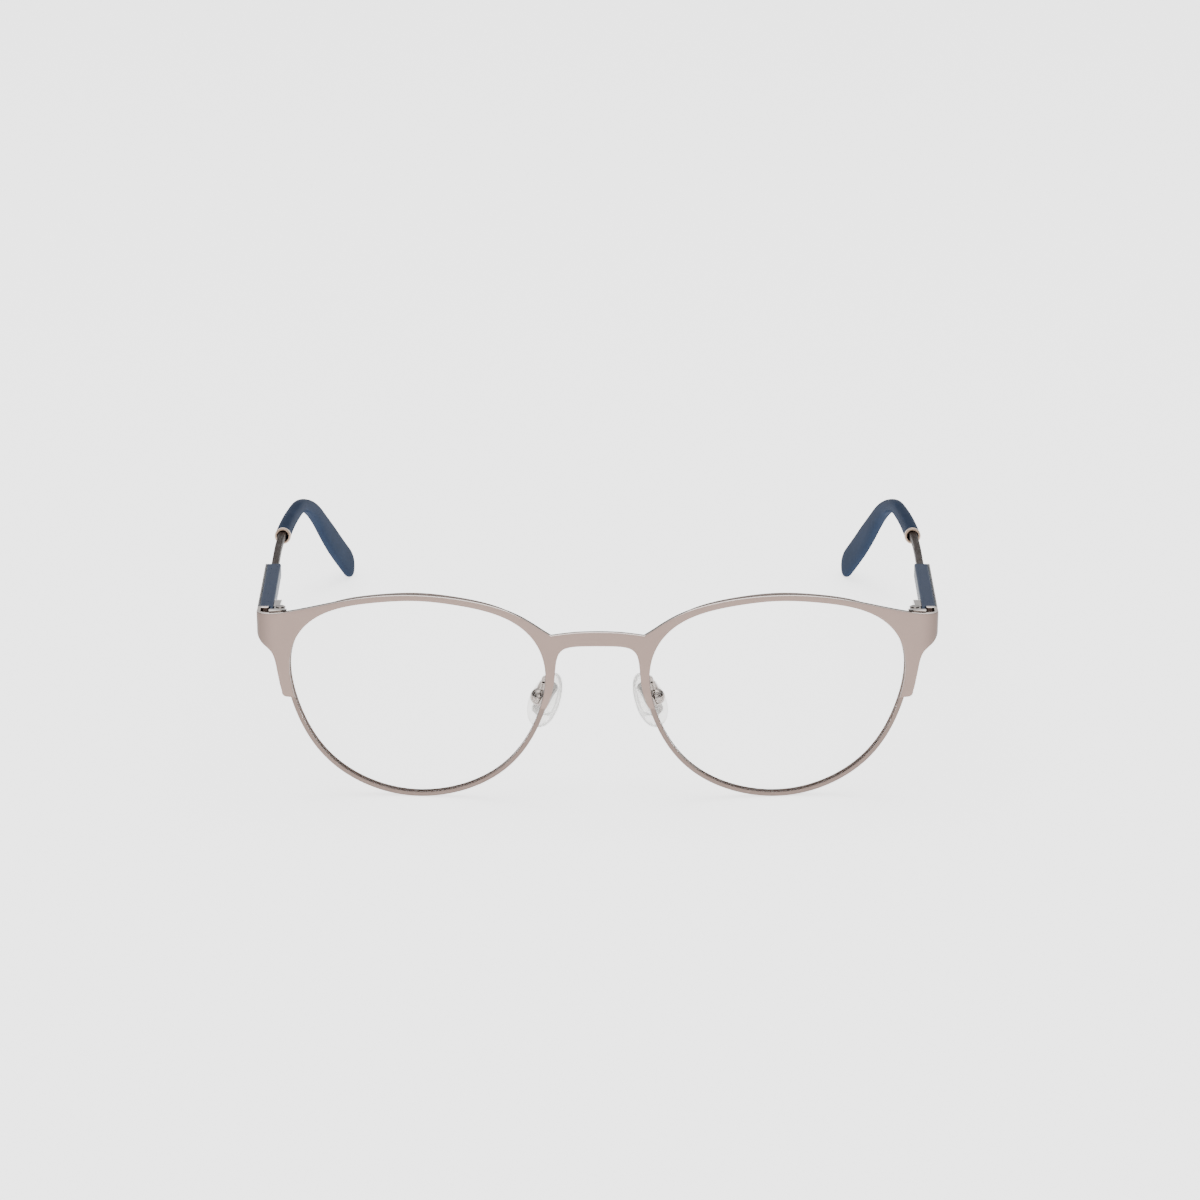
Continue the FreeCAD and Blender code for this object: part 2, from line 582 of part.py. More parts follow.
cup = cup_ball(BOX_P + 1.20)
cavity = box(BOX_M - 0.60, BOX_M + 0.60, BOX_P - 0.86, BOX_P + 2.5, BOX_L - 1.05, BOX_L + 1.05)
cup = cup.cut(cavity)
screw_hole = Part.makeCylinder(PAD_SCREW_R + 0.015, 8, V(-4, BOX_P, BOX_L), V(1, 0, 0))
head_sink = Part.makeCylinder(0.54, 2, V(BOX_M + 1.22, BOX_P, BOX_L), V(1, 0, 0))
cup = cup.cut(screw_hole).cut(head_sink)
nodes["left_pad_box"] = ("pad_fixed", one_solid(cup, "pad_box"))
ps = Part.makeCylinder(PAD_SCREW_R, 2.80, V(BOX_M - 1.50, BOX_P, BOX_L), V(1, 0, 0))
ps = ps.fuse(Part.makeCylinder(0.50, 0.36, V(BOX_M + 1.22, BOX_P, BOX_L), V(1, 0, 0)))
ps = ps.cut(box(BOX_M + 1.46, 3, BOX_P - 0.07, BOX_P + 0.07, BOX_L - 1, BOX_L + 1)).removeSplitter()
nodes["left_pad_screw"] = ("pad_fixed", one_solid(ps, "pad_screw"))

# pad arm: a wire from the back of the eyewire to the box, in the front frame
cup_c = pad_c + m_dir * BOX_M + p_dir * (BOX_P - 0.22) + l_dir * BOX_L
arm_pts = [V(10.62, 2.80, 26.0), V(10.60, 4.30, 25.5), V(11.05, 5.55, 24.2), cup_c + V(-0.15, 0.9, 1.2)]
arm = None
for a, b in zip(arm_pts[:-1], arm_pts[1:]):
    d = b - a
    seg = Part.makeCylinder(ARM_R, d.Length, a, d)
    ball = Part.makeSphere(ARM_R, b)
    seg = seg.fuse(ball)
    arm = seg if arm is None else arm.fuse(seg)
start = Part.makeSphere(ARM_R, arm_pts[0])
foot = box(10.15, 11.05, 1.8, 3.0, 24.9, 27.2)
# the neck widens where it runs into the cup
neck_dir = cup_c - arm_pts[2]
neck = Part.makeCone(ARM_R, 1.05, neck_dir.Length - 0.9, arm_pts[2], neck_dir)
arm = arm.fuse(start).fuse(foot).fuse(neck).removeSplitter()
rim_fill = outer_prism.common(shell_between(-5.0, SHEET + RIM_DEPTH))
lens_room = rim_prism(RIM_FACE - 0.03, -7, 15).common(shell_between(-5.0, SHEET + RIM_DEPTH + 0.45))
cup_fill = pad_place(cup_ball(BOX_P + 3.5))
arm = arm.cut(rim_fill).cut(lens_room).cut(cup_fill)
if len(arm.Solids) > 1:
    arm = sorted(arm.Solids, key=lambda s: -s.Volume)[0]
nodes["left_pad_arm"] = ("front", one_solid(arm, "pad_arm"))

# ---- everything to the resting frame ----


def to_rest(kind, shape):
    if kind in ("hinge", "temple"):
        shape = temple_to_front(shape)
    if kind in ("pad", "pad_fixed"):
        shape = pad_place(shape)
    return shape


front_shapes = {}
for name, (kind, shape) in nodes.items():
    front_shapes[name] = to_rest(kind, shape)
for name in list(front_shapes):
    if name.startswith("left_"):
        front_shapes[name.replace("left_", "right_", 1)] = mirror(front_shapes[name])


def placed(tilt, lift=0.0, back=0.0):
    m = rot_x(tilt)
    sh = Matrix()
    sh.move(V(0, back, lift))
    return sh.multiply(m)


def low(shape, m):
    return shape.transformed(m).optimalBoundingBox(False).ZMin if hasattr(shape, "optimalBoundingBox") \
        else shape.transformed(m).BoundBox.ZMin


tilt = FRONT_TILT
for _ in range(4):
    m = placed(tilt)
    z_rim = low(front_shapes["left_eyewire"], m)
    z_tip = low(front_shapes["left_temple_tip"], m)
    tilt -= math.degrees(math.atan2(z_tip - z_rim, 132.0))
m = placed(tilt)
z_rim = low(front_shapes["left_eyewire"], m)
z_tip = low(front_shapes["left_temple_tip"], m)
m = placed(tilt, -min(z_rim, z_tip))
final = {k: s.transformed(m) for k, s in front_shapes.items()}
ys = [s.optimalBoundingBox(False) for s in final.values()]
y0, y1 = min(b.YMin for b in ys), max(b.YMax for b in ys)
back = -(y0 + y1) / 2
m = placed(tilt, -min(z_rim, z_tip), back)
final = {k: s.transformed(m) for k, s in front_shapes.items()}

for name, shape in final.items():
    shape.exportStep("parts/%s.step" % name)

bb = [s.optimalBoundingBox(False) for s in final.values()]
print("nodes %d" % len(final))
print("box x %.3f %.3f y %.3f %.3f z %.3f %.3f" % (
    min(b.XMin for b in bb), max(b.XMax for b in bb), min(b.YMin for b in bb),
    max(b.YMax for b in bb), min(b.ZMin for b in bb), max(b.ZMax for b in bb)))
print("tilt %.4f rim_z %.4f tip_z %.4f back %.4f" % (tilt, z_rim, z_tip, back))


def pt(v):
    q = m.multVec(v)
    return [round(q.x, 4), round(q.y, 4), round(q.z, 4)]


def dr(v):
    q = m.multVec(v).sub(m.multVec(V(0, 0, 0)))
    q.normalize()
    return [round(q.x, 6), round(q.y, 6), round(q.z, 6)]


axis_front = to_front.multVec(V(0, 0, 1))
print("hinge", pt(V(HINGE_X, HINGE_N, HINGE_W)), "axis", dr(axis_front))
pin = pad_c + p_dir * BOX_P + l_dir * BOX_L
print("pad pin", pt(pin), "axis", dr(m_dir))
print("front origin", pt(V(0, 0, 0)), "up", dr(V(0, 0, 1)), "rear", dr(V(0, 1, 0)))
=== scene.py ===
import math

import bpy
import bmesh
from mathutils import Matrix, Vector
from mathutils.geometry import delaunay_2d_cdt


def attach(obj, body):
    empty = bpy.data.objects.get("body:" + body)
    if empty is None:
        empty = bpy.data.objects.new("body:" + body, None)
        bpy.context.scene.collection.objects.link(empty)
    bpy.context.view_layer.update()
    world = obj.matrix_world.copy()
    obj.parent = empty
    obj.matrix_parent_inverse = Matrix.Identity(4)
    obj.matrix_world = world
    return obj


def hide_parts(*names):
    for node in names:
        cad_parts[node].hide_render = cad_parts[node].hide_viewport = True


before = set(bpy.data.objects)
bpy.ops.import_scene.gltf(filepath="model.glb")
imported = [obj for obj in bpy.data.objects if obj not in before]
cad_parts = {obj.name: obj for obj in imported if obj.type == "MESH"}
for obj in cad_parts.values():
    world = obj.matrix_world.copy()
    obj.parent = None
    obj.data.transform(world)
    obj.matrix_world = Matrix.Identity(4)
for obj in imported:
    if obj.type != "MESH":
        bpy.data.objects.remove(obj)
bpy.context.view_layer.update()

# ---------------------------------------------------------------------------
# Construction frames, the same as the CAD model's, in millimetres
# ---------------------------------------------------------------------------
TILT, BACK, LIFT = 3.3261, -68.3101, -0.0871
FRONT_R, SHEET = 500.0, 0.8
HALF_FRONT, END_R2, END_A2, END_R3 = 68.55, 14.0, 22.0, 1.5
WALL_N, RETURN_X, RETURN_R = 8.9, 66.25, 1.0
LENS_CX, LENS_CW = 36.2, 22.0
POLAR = [24.6294, -0.1401, 1.324, 2.141, -0.0166, 0.0393, 1.2948, -0.3929,
         -0.0274, 0.022, 0.2061, -0.2127, 0.0116, 0.0109, -0.0394]
RIM_FACE, RIM_DEPTH = 1.0, 1.5
LENS_R, LENS_T = 150.0, 1.6
LOCK_W = 33.5
HINGE_X, HINGE_N, HINGE_W = 63.85, 7.1, 37.9
TOTAL = 8.45
TEMPLE_X0, TEMPLE_SPLAY = 66.70, 0.034
BEND_T, BEND_A, BEND_R = 104.0, 38.3, 39.8
INWARD_Q, INWARD_T = 1.625e-3, 51.7
CORE_HALF = 0.75
BLOCK_END = 36.5
BLOCK_HALF_X, BLOCK_HALF_H = 1.45, 1.5
TRIM_T = 0.35
TIP_START = 68.5
TEMPLE_L = 143.5
TIP_A, TIP_B, TIP_DROP = (1.62, 1.08), (1.75, 1.50, 3.60), 0.28
MOUTH_R, COLLAR_R = 1.40, 1.76
PAD_C = (10.6, 7.8, 19.1)
PAD_FRONTAL, PAD_SPLAY = 25.0, 42.0
PAD_LEN, PAD_WID, PAD_THK = 12.4, 7.6, 2.3
BOX_L, BOX_P, BOX_M, CUP_R = 1.1, -2.85, -0.8, 1.85
ARM_R = 0.52


def front(x, n, w):
    a = math.radians(TILT)
    return (x, n * math.cos(a) - w * math.sin(a) + BACK, n * math.sin(a) + w * math.cos(a) + LIFT)


def temple(x, t, h):
    a = math.radians(-TOTAL)
    return front(x, t * math.cos(a) - h * math.sin(a) + HINGE_N,
                 t * math.sin(a) + h * math.cos(a) + HINGE_W)


_fa, _sa = math.radians(PAD_FRONTAL), math.radians(PAD_SPLAY)
L_DIR = Vector((-math.sin(_fa), 0, math.cos(_fa)))
_m0 = Vector((math.sin(_sa), math.cos(_sa), 0))
M_DIR = (_m0 - L_DIR * _m0.dot(L_DIR)).normalized()
P_DIR = M_DIR.cross(L_DIR).normalized()
if P_DIR.x > 0:
    P_DIR = -P_DIR


def pad(m, p, l):
    q = Vector(PAD_C) + M_DIR * m + P_DIR * p + L_DIR * l
    return front(q.x, q.y, q.z)


def n_front(x):
    return FRONT_R - math.sqrt(FRONT_R * FRONT_R - x * x)


def rim_point(a, inset):
    r, dr = POLAR[0], 0.0
    for k in range(1, 8):
        ck, sk = POLAR[2 * k - 1], POLAR[2 * k]
        r += ck * math.cos(k * a) + sk * math.sin(k * a)
        dr += k * (-ck * math.sin(k * a) + sk * math.cos(k * a))
    x, w = r * math.cos(a), r * math.sin(a)
    tx, tw = dr * math.cos(a) - r * math.sin(a), dr * math.sin(a) + r * math.cos(a)
    q = math.hypot(tx, tw)
    return LENS_CX - (x - tw / q * inset), LENS_CW + (w + tx / q * inset)


def on_rim(a, inset, depth):
    """Point at a depth behind the plate's front face, along the wrap's normal."""
    x, w = rim_point(a, inset)
    ang = math.asin(x / FRONT_R)
    return ((FRONT_R - depth) * math.sin(ang), FRONT_R - (FRONT_R - depth) * math.cos(ang), w)


# ---------------------------------------------------------------------------
# Mesh helpers
# ---------------------------------------------------------------------------
pieces = {}


def make(name, verts, faces, mat, body, nodes, sgn=1, sharp=35.0, weighted=True):
    """A closed mesh piece from millimetre points already in the resting frame."""
    me = bpy.data.meshes.new(name)
    me.from_pydata([(v[0] * sgn * 0.001, v[1] * 0.001, v[2] * 0.001) for v in verts], [],
                   [tuple(reversed(f)) if sgn < 0 else tuple(f) for f in faces])
    me.validate()
    bm = bmesh.new()
    bm.from_mesh(me)
    bmesh.ops.remove_doubles(bm, verts=bm.verts, dist=1e-7)
    bmesh.ops.recalc_face_normals(bm, faces=bm.faces)
    for e in bm.edges:
        e.smooth = not (len(e.link_faces) == 2 and e.calc_face_angle(0.0) > math.radians(sharp))
    for f in bm.faces:
        f.smooth = True
    bm.to_mesh(me)
    bm.free()
    ob = bpy.data.objects.new(name, me)
    bpy.context.scene.collection.objects.link(ob)
    me.materials.append(mat)
    if weighted:
        wn = ob.modifiers.new("normals", "WEIGHTED_NORMAL")
        wn.keep_sharp = True
        wn.weight = 80
    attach(ob, body)
    if nodes:
        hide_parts(*nodes)
    pieces[name] = ob
    return ob


def rings_to_mesh(rings, closed=False, cap0=True, cap1=True):
    """Faces between equal rings of points; caps as fans round a middle point."""
    verts, faces = [], []
    n = len(rings[0])
    for r in rings:
        verts += r
    m = len(rings)
    for i in range(m if closed else m - 1):
        a, b = i * n, ((i + 1) % m) * n
        for j in range(n):
            k = (j + 1) % n
            faces.append((a + j, a + k, b + k, b + j))
    if not closed:
        for which, flag in ((0, cap0), (m - 1, cap1)):
            if flag:
                ring = rings[which]
                c = tuple(sum(p[i] for p in ring) / n for i in range(3))
                verts.append(c)
                ci = len(verts) - 1
                o = which * n
                for j in range(n):
                    k = (j + 1) % n
                    faces.append((o + k, o + j, ci) if which == 0 else (o + j, o + k, ci))
    return verts, faces


def round_rect(hx, hy, r, k=4):
    pts = []
    for cx, cy, a0 in ((hx - r, hy - r, 0), (-hx + r, hy - r, 90), (-hx + r, -hy + r, 180), (hx - r, -hy + r, 270)):
        for i in range(k + 1):
            a = math.radians(a0 + 90 * i / k)
            pts.append((cx + r * math.cos(a), cy + r * math.sin(a)))
    return pts


def catmull(pts, step=0.45):
    """Smooth open curve through 2-D points, at about equal steps."""
    out = []
    P = [Vector((2 * pts[0][0] - pts[1][0], 2 * pts[0][1] - pts[1][1]))] + [Vector(p) for p in pts] \
        + [Vector((2 * pts[-1][0] - pts[-2][0], 2 * pts[-1][1] - pts[-2][1]))]
    for i in range(1, len(P) - 2):
        p0, p1, p2, p3 = P[i - 1:i + 3]
        n = max(2, int((p2 - p1).length / step))
        d1, d2 = (p1 - p0).length ** 0.5, (p2 - p1).length ** 0.5
        d3 = (p3 - p2).length ** 0.5
        t0, t1, t2, t3 = 0, d1, d1 + d2, d1 + d2 + d3
        for j in range(n):
            t = t1 + (t2 - t1) * j / n
            a1 = p0 * ((t1 - t) / (t1 - t0)) + p1 * ((t - t0) / (t1 - t0))
            a2 = p1 * ((t2 - t) / (t2 - t1)) + p2 * ((t - t1) / (t2 - t1))
            a3 = p2 * ((t3 - t) / (t3 - t2)) + p3 * ((t - t2) / (t3 - t2))
            b1 = a1 * ((t2 - t) / (t2 - t0)) + a2 * ((t - t0) / (t2 - t0))
            b2 = a2 * ((t3 - t) / (t3 - t1)) + a3 * ((t - t1) / (t3 - t1))
            c = b1 * ((t2 - t) / (t2 - t1)) + b2 * ((t - t1) / (t2 - t1))
            out.append((c.x, c.y))
    out.append(tuple(pts[-1]))
    return out


# ---------------------------------------------------------------------------
# Materials
# ---------------------------------------------------------------------------


def srgb(r, g, b):
    f = lambda c: (c / 255 / 12.92) if c / 255 <= 0.04045 else ((c / 255 + 0.055) / 1.055) ** 2.4
    return (f(r), f(g), f(b), 1.0)


def material(name, color, metallic, rough, *, grain=None, grain_amt=0.0, bump=0.0, rough_var=0.05,
             color_var=0.04, cloud=180.0, stretch=(1, 1, 1), coat=0.0, coat_rough=0.1, **extra):
    """Principled surface with fine grain and slow colour and roughness drift."""
    m = bpy.data.materials.new(name)
    m.use_nodes = True
    nt = m.node_tree
    nt.nodes.clear()
    N, L = nt.nodes.new, nt.links.new
    out = N("ShaderNodeOutputMaterial")
    b = N("ShaderNodeBsdfPrincipled")
    L(b.outputs["BSDF"], out.inputs["Surface"])
    tc = N("ShaderNodeTexCoord")
    mp = N("ShaderNodeMapping")
    mp.inputs["Scale"].default_value = stretch
    L(tc.outputs["Object"], mp.inputs["Vector"])
    cl = N("ShaderNodeTexNoise")
    cl.inputs["Scale"].default_value = cloud
    cl.inputs["Detail"].default_value = 4.0
    L(tc.outputs["Object"], cl.inputs["Vector"])
    ramp = N("ShaderNodeValToRGB")
    ramp.color_ramp.elements[0].position = 0.3
    ramp.color_ramp.elements[1].position = 0.7
    c0 = tuple(max(0, c * (1 - color_var)) for c in color[:3]) + (1,)
    c1 = tuple(min(1, c * (1 + color_var)) for c in color[:3]) + (1,)
    ramp.color_ramp.elements[0].color = c0
    ramp.color_ramp.elements[1].color = c1
    L(cl.outputs["Fac"], ramp.inputs["Fac"])
    fine = N("ShaderNodeTexNoise")
    fine.inputs["Scale"].default_value = grain or 6000.0
    fine.inputs["Detail"].default_value = 3.0
    L(mp.outputs["Vector"], fine.inputs["Vector"])
    mix = N("ShaderNodeMix")
    mix.data_type = "RGBA"
    mix.blend_type = "MULTIPLY"
    mix.inputs[0].default_value = grain_amt
    L(ramp.outputs["Color"], mix.inputs[6])
    gr = N("ShaderNodeMapRange")
    gr.inputs["From Min"].default_value = 0.3
    gr.inputs["From Max"].default_value = 0.7
    gr.inputs["To Min"].default_value = 0.55
    gr.inputs["To Max"].default_value = 1.2
    L(fine.outputs["Fac"], gr.inputs["Value"])
    L(gr.outputs["Result"], mix.inputs[7])
    if name == "taupe_satin":
        # painted shade: the base colour is darkened towards the bent-back outer ends (|x| from 64.5 to 70 mm, down
        # to 0.42), standing in for the shade where the plate wraps round
        sep = N("ShaderNodeSeparateXYZ")
        L(tc.outputs["Object"], sep.inputs[0])
        ab = N("ShaderNodeMath")
        ab.operation = "ABSOLUTE"
        L(sep.outputs[0], ab.inputs[0])
        er = N("ShaderNodeMapRange")
        er.interpolation_type = "SMOOTHSTEP"
        er.inputs["From Min"].default_value = 0.0645
        er.inputs["From Max"].default_value = 0.0700
        er.inputs["To Min"].default_value = 0.98
        er.inputs["To Max"].default_value = 0.42
        L(ab.outputs[0], er.inputs["Value"])
        em = N("ShaderNodeMix")
        em.data_type = "RGBA"
        em.blend_type = "MULTIPLY"
        em.inputs[0].default_value = 1.0
        L(mix.outputs[2], em.inputs[6])
        L(er.outputs["Result"], em.inputs[7])
        L(em.outputs[2], b.inputs["Base Color"])
    else:
        L(mix.outputs[2], b.inputs["Base Color"])
    rr = N("ShaderNodeMapRange")
    rr.inputs["From Min"].default_value = 0.3
    rr.inputs["From Max"].default_value = 0.7
    rr.inputs["To Min"].default_value = max(0.02, rough - rough_var)
    rr.inputs["To Max"].default_value = min(1.0, rough + rough_var)
    L(fine.outputs["Fac"], rr.inputs["Value"])
    L(rr.outputs["Result"], b.inputs["Roughness"])
    if bump:
        bp = N("ShaderNodeBump")
        bp.inputs["Strength"].default_value = bump
        bp.inputs["Distance"].default_value = 0.00002
        L(fine.outputs["Fac"], bp.inputs["Height"])
        L(bp.outputs["Normal"], b.inputs["Normal"])
    b.inputs["Metallic"].default_value = metallic
    b.inputs["Coat Weight"].default_value = coat
    b.inputs["Coat Roughness"].default_value = coat_rough
    for k, v in extra.items():
        b.inputs[k.replace("_", " ")].default_value = v
    return m


M_FRONT = material("taupe_satin", (0.245, 0.172, 0.145, 1), 0.50, 0.44, grain=5200, grain_amt=0.12, bump=0.10,
                   rough_var=0.06, color_var=0.02)
M_RIM = material("taupe_satin_rim", (0.165, 0.117, 0.099, 1), 0.60, 0.36, grain=5200, grain_amt=0.10, bump=0.08,
                 rough_var=0.06, color_var=0.03)
# painted shade: a near-black brown on the eyewire's inward groove faces, standing for the dark groove with the lens
# edge seen in it
M_GROOVE_SHADE = material("painted_groove_shade", (0.028, 0.019, 0.014, 1), 0.15, 0.42, grain=4200, grain_amt=0.20, bump=0.08,
                    rough_var=0.06, color_var=0.10, IOR=1.18)
# painted highlight: a bright polished copy of the plate's colour, put only on upward-facing front bevels and on the
# endpieces' upward-facing edges, to stand for the lit line along the top
M_EDGE_HIGHLIGHT = material("painted_edge_highlight", (0.66, 0.59, 0.55, 1), 1.0, 0.12, grain=3600, grain_amt=0.10, bump=0.04,
                  rough_var=0.04, color_var=0.03)
M_SIDE = material("edge_lacquer", (0.095, 0.066, 0.055, 1), 0.55, 0.34, grain=3600, grain_amt=0.15, bump=0.05,
                  rough_var=0.05, color_var=0.04)
# painted shade: a near-black copy put on the back and inner faces inside the endpiece wrap and on stretches of the
# top edge
M_SHADE_DARK = material("painted_shade_dark", (0.022, 0.014, 0.011, 1), 0.3, 0.34, grain=3600, grain_amt=0.20, bump=0.05,
                   rough_var=0.06, color_var=0.08, IOR=1.2)
M_CHROME = material("polished_plate", (0.36, 0.325, 0.305, 1), 1.0, 0.06, grain=3000, grain_amt=0.04, bump=0.02,
                    rough_var=0.03, color_var=0.02)
M_NICKEL = material("polished_nickel", (0.26, 0.228, 0.208, 1), 1.0, 0.05, grain=3000, grain_amt=0.04, bump=0.02,
                    rough_var=0.02, color_var=0.02)
M_GUN = material("brown_gunmetal", (0.020, 0.0125, 0.0100, 1), 0.12, 0.48, grain=2600, grain_amt=0.25, bump=0.06,
                 rough_var=0.08, color_var=0.14, stretch=(1, 0.12, 1), IOR=1.12)
M_TRIM = material("dark_trim", (0.016, 0.013, 0.014, 1), 0.35, 0.26, grain=2600, grain_amt=0.20, bump=0.06,
                  rough_var=0.06, color_var=0.08, stretch=(1, 0.12, 1), IOR=1.25)
M_BLUE = material("slate_blue_satin", (0.0150, 0.0260, 0.0530, 1), 0.0, 0.30, grain=3000, grain_amt=0.05, bump=0.02,
                  rough_var=0.03, color_var=0.04, stretch=(1, 0.2, 1), IOR=1.20, Specular_IOR_Level=0.05)
M_COLLAR = material("collar_satin", (0.36, 0.255, 0.19, 1), 0.4, 0.30, grain=5200, grain_amt=0.08, bump=0.06,
                    rough_var=0.05, color_var=0.02)
M_TIP = material("navy_sleeve", (0.0175, 0.0270, 0.0500, 1), 0.0, 0.40, grain=3200, grain_amt=0.12, bump=0.10,
                 rough_var=0.06, color_var=0.08, coat=0.06, coat_rough=0.28, Specular_IOR_Level=0.0)
M_PAD = material("clear_silicone", (0.975, 0.965, 0.94, 1), 0.0, 0.10, grain=2500, grain_amt=0.02, bump=0.05,
                 rough_var=0.04, color_var=0.01, Transmission_Weight=0.72, IOR=1.38, Alpha=0.80)
M_LENS = material("clear_lens", (0.99, 0.995, 0.99, 1), 0.0, 0.03, grain=900, grain_amt=0.0, bump=0.0,
                  rough_var=0.01, color_var=0.0, coat=1.0, coat_rough=0.02, Transmission_Weight=1.0, IOR=1.03,
                  Alpha=0.22)
M_LOCK = material("lock_metal", (0.20, 0.15, 0.13, 1), 0.8, 0.34, grain=4200, grain_amt=0.10, bump=0.06)

# ---------------------------------------------------------------------------
# Front plate: flat pattern, bevelled, then bent round the endpieces
# ---------------------------------------------------------------------------


def profile_segments():
    x_end3 = HALF_FRONT - END_R3 * (1 - math.sin(math.radians(END_A2)))
    phi1 = math.asin((x_end3 - END_R2 * math.sin(math.radians(END_A2))) / (FRONT_R - END_R2))
    angs = [0.0, phi1, math.radians(END_A2), math.pi / 2]
    rads = [FRONT_R, END_R2, END_R3]
    cx, cn = 0.0, FRONT_R
    segs, s = [], 0.0
    for i, r in enumerate(rads):
        if i:
            d = rads[i - 1] - r
            cx += d * math.sin(angs[i])
            cn -= d * math.cos(angs[i])
        ln = r * (angs[i + 1] - angs[i])
        segs.append(("arc", s, s + ln, cx, cn, r, angs[i]))
        s += ln
    n0 = cn
    ln = WALL_N - RETURN_R - n0
    segs.append(("line", s, s + ln, HALF_FRONT, n0, 0.0, math.pi / 2))
    s += ln
    ln = RETURN_R * math.pi / 2
    segs.append(("arc", s, s + ln, HALF_FRONT - RETURN_R, WALL_N - RETURN_R, RETURN_R, math.pi / 2))
    s += ln
    ln = HALF_FRONT - RETURN_R - RETURN_X
    segs.append(("line", s, s + ln, HALF_FRONT - RETURN_R, WALL_N, 0.0, math.pi))
    return segs, s + ln


SEGS, S_END = profile_segments()


def on_sheet(s, w, depth):
    sg = 1 if s >= 0 else -1
    s = abs(s)
    seg = next((g for g in SEGS if s <= g[2] + 1e-9), SEGS[-1])
    kind, s0, s1, cx, cn, r, a0 = seg
    if kind == "arc":
        a = a0 + (s - s0) / r
        x, n = cx + (r - depth) * math.sin(a), cn - (r - depth) * math.cos(a)
    else:
        a = a0
        x, n = cx + (s - s0) * math.cos(a) - depth * math.sin(a), cn + (s - s0) * math.sin(a) + depth * math.cos(a)
    return sg * x, n, w


def s_of_x(x):
    lo, hi = 0.0, SEGS[2][2]
    for _ in range(50):
        mid = (lo + hi) / 2
        if on_sheet(mid, 0, 0)[0] < x:
            lo = mid
        else:
            hi = mid
    return (lo + hi) / 2


BRIDGE_TOP = [(0, 37.44), (2.3, 37.40), (4.6, 37.27), (7.0, 36.98), (9.3, 36.62)]
BROW_TOP = [(9.3, 36.62), (11, 37.75), (13, 39.15), (15.5, 40.68), (18.5, 42.03), (22, 43.13),
            (26, 43.98), (30, 44.53), (34, 44.82), (38, 44.85), (42, 44.61),
            (46, 44.09), (50, 43.31), (54, 42.32), (58, 41.25), (61.5, 40.37),
            (65, 39.69), (68.45, 39.44)]
END_LOW = [(68.52, 34.40), (68.25, 33.75), (67.55, 32.80), (66.55, 31.95),
           (65.75, 31.10), (65.25, 30.0), (64.95, 28.75), (64.70, 27.2),
           (64.42, 25.5), (64.15, 23.9), (63.85, 22.6)]
LEG_LOW = [(0, 34.31), (3.9, 34.22), (5.6, 34.00), (6.9, 33.50), (7.75, 32.55),
           (8.15, 31.4), (8.38, 30.0), (8.52, 28.4), (8.66, 27.0), (8.82, 25.6),
           (9.10, 24.1), (9.50, 22.6), (9.98, 21.3), (10.42, 20.2)]


def half_outline():
    """Right half of the flat pattern in (s, w), from bridge top to bridge foot."""
    flat = lambda pts: [(s_of_x(x), w) for x, w in pts]
    o = flat(catmull(BRIDGE_TOP)[:-1]) + flat(catmull(BROW_TOP))
    s_last = o[-1][0]
    k = int((S_END - s_last) / 0.35)
    o += [(s_last + (S_END - s_last) * i / k, 39.44 - 0.04 * min(1, i / 4)) for i in range(1, k + 1)]
    low = flat(catmull(END_LOW, 0.35))
    k = 12
    o += [(S_END, 39.40 - 5.0 * i / k) for i in range(1, k)]
    k = int((S_END - low[0][0]) / 0.35)
    o += [(S_END + (low[0][0] - S_END) * i / k, 34.40) for i in range(0, k)]
    o += low
    # rounded foot of the temporal drop
    c = (62.85, 22.6 - 0.2)
    for i in range(1, 7):
        a = math.radians(90 * i / 6)
        o.append((s_of_x(62.85 + 1.0 * math.cos(a)), 22.4 - 1.0 * math.sin(a)))
    # along the opening, from the temple side over the brow to the nose side
    angs = [math.pi + 0.9 - 6.4 * i / 800 for i in range(801)]
    pts = [rim_point(a, RIM_FACE) for a in angs]
    # start at the temple side where w passes 21.4 upwards
    i0 = min(range(len(angs)), key=lambda i: (abs(pts[i][1] - 21.4) if pts[i][0] > 55 else 99))
    i1 = min(range(len(angs)), key=lambda i: (abs(pts[i][1] - 20.2) if pts[i][0] < 20 else 99))
    stepdir = 1 if pts[(i0 + 5) % len(pts)][1] > pts[i0][1] else -1
    a0, a1 = angs[i0], angs[i1]
    if stepdir > 0:
        while a1 > a0:
            a1 -= 2 * math.pi
    else:
        while a1 < a0:
            a1 += 2 * math.pi
    k = 190
    for i in range(k + 1):
        x, w = rim_point(a0 + (a1 - a0) * i / k, RIM_FACE)
        o.append((s_of_x(x), w))
    o += flat(reversed(catmull(LEG_LOW)))
    # drop repeats
    q = [o[0]]
    for p in o[1:]:
        if math.hypot(p[0] - q[-1][0], p[1] - q[-1][1]) > 0.06:
            q.append(p)
    return q


def offset_poly(poly, d):
    """Move each point of a closed polygon inwards by d, with mitred corners."""
    n = len(poly)
    area = sum(poly[i][0] * poly[(i + 1) % n][1] - poly[(i + 1) % n][0] * poly[i][1] for i in range(n))
    sg = 1 if area > 0 else -1
    out = []
    for i in range(n):
        a, b, c = Vector(poly[i - 1]), Vector(poly[i]), Vector(poly[(i + 1) % n])
        u, v = (b - a).normalized(), (c - b).normalized()
        n1, n2 = Vector((-u.y, u.x)) * sg, Vector((-v.y, v.x)) * sg
        k = n1 + n2
        k = k / max(0.5, k.length_squared / 2) if k.length > 1e-6 else n1
        k = k.normalized() * min(2.0, 1 / max(0.5, n1.dot(k.normalized()))) if k.length > 0 else n1
        out.append((b.x + k.x * d, b.y + k.y * d))
    return out


def inside(poly, x, y):
    c = False
    n = len(poly)
    j = n - 1
    for i in range(n):
        xi, yi = poly[i]
        xj, yj = poly[j]
        if (yi > y) != (yj > y) and x < (xj - xi) * (y - yi) / (yj - yi) + xi:
            c = not c
        j = i
    return c


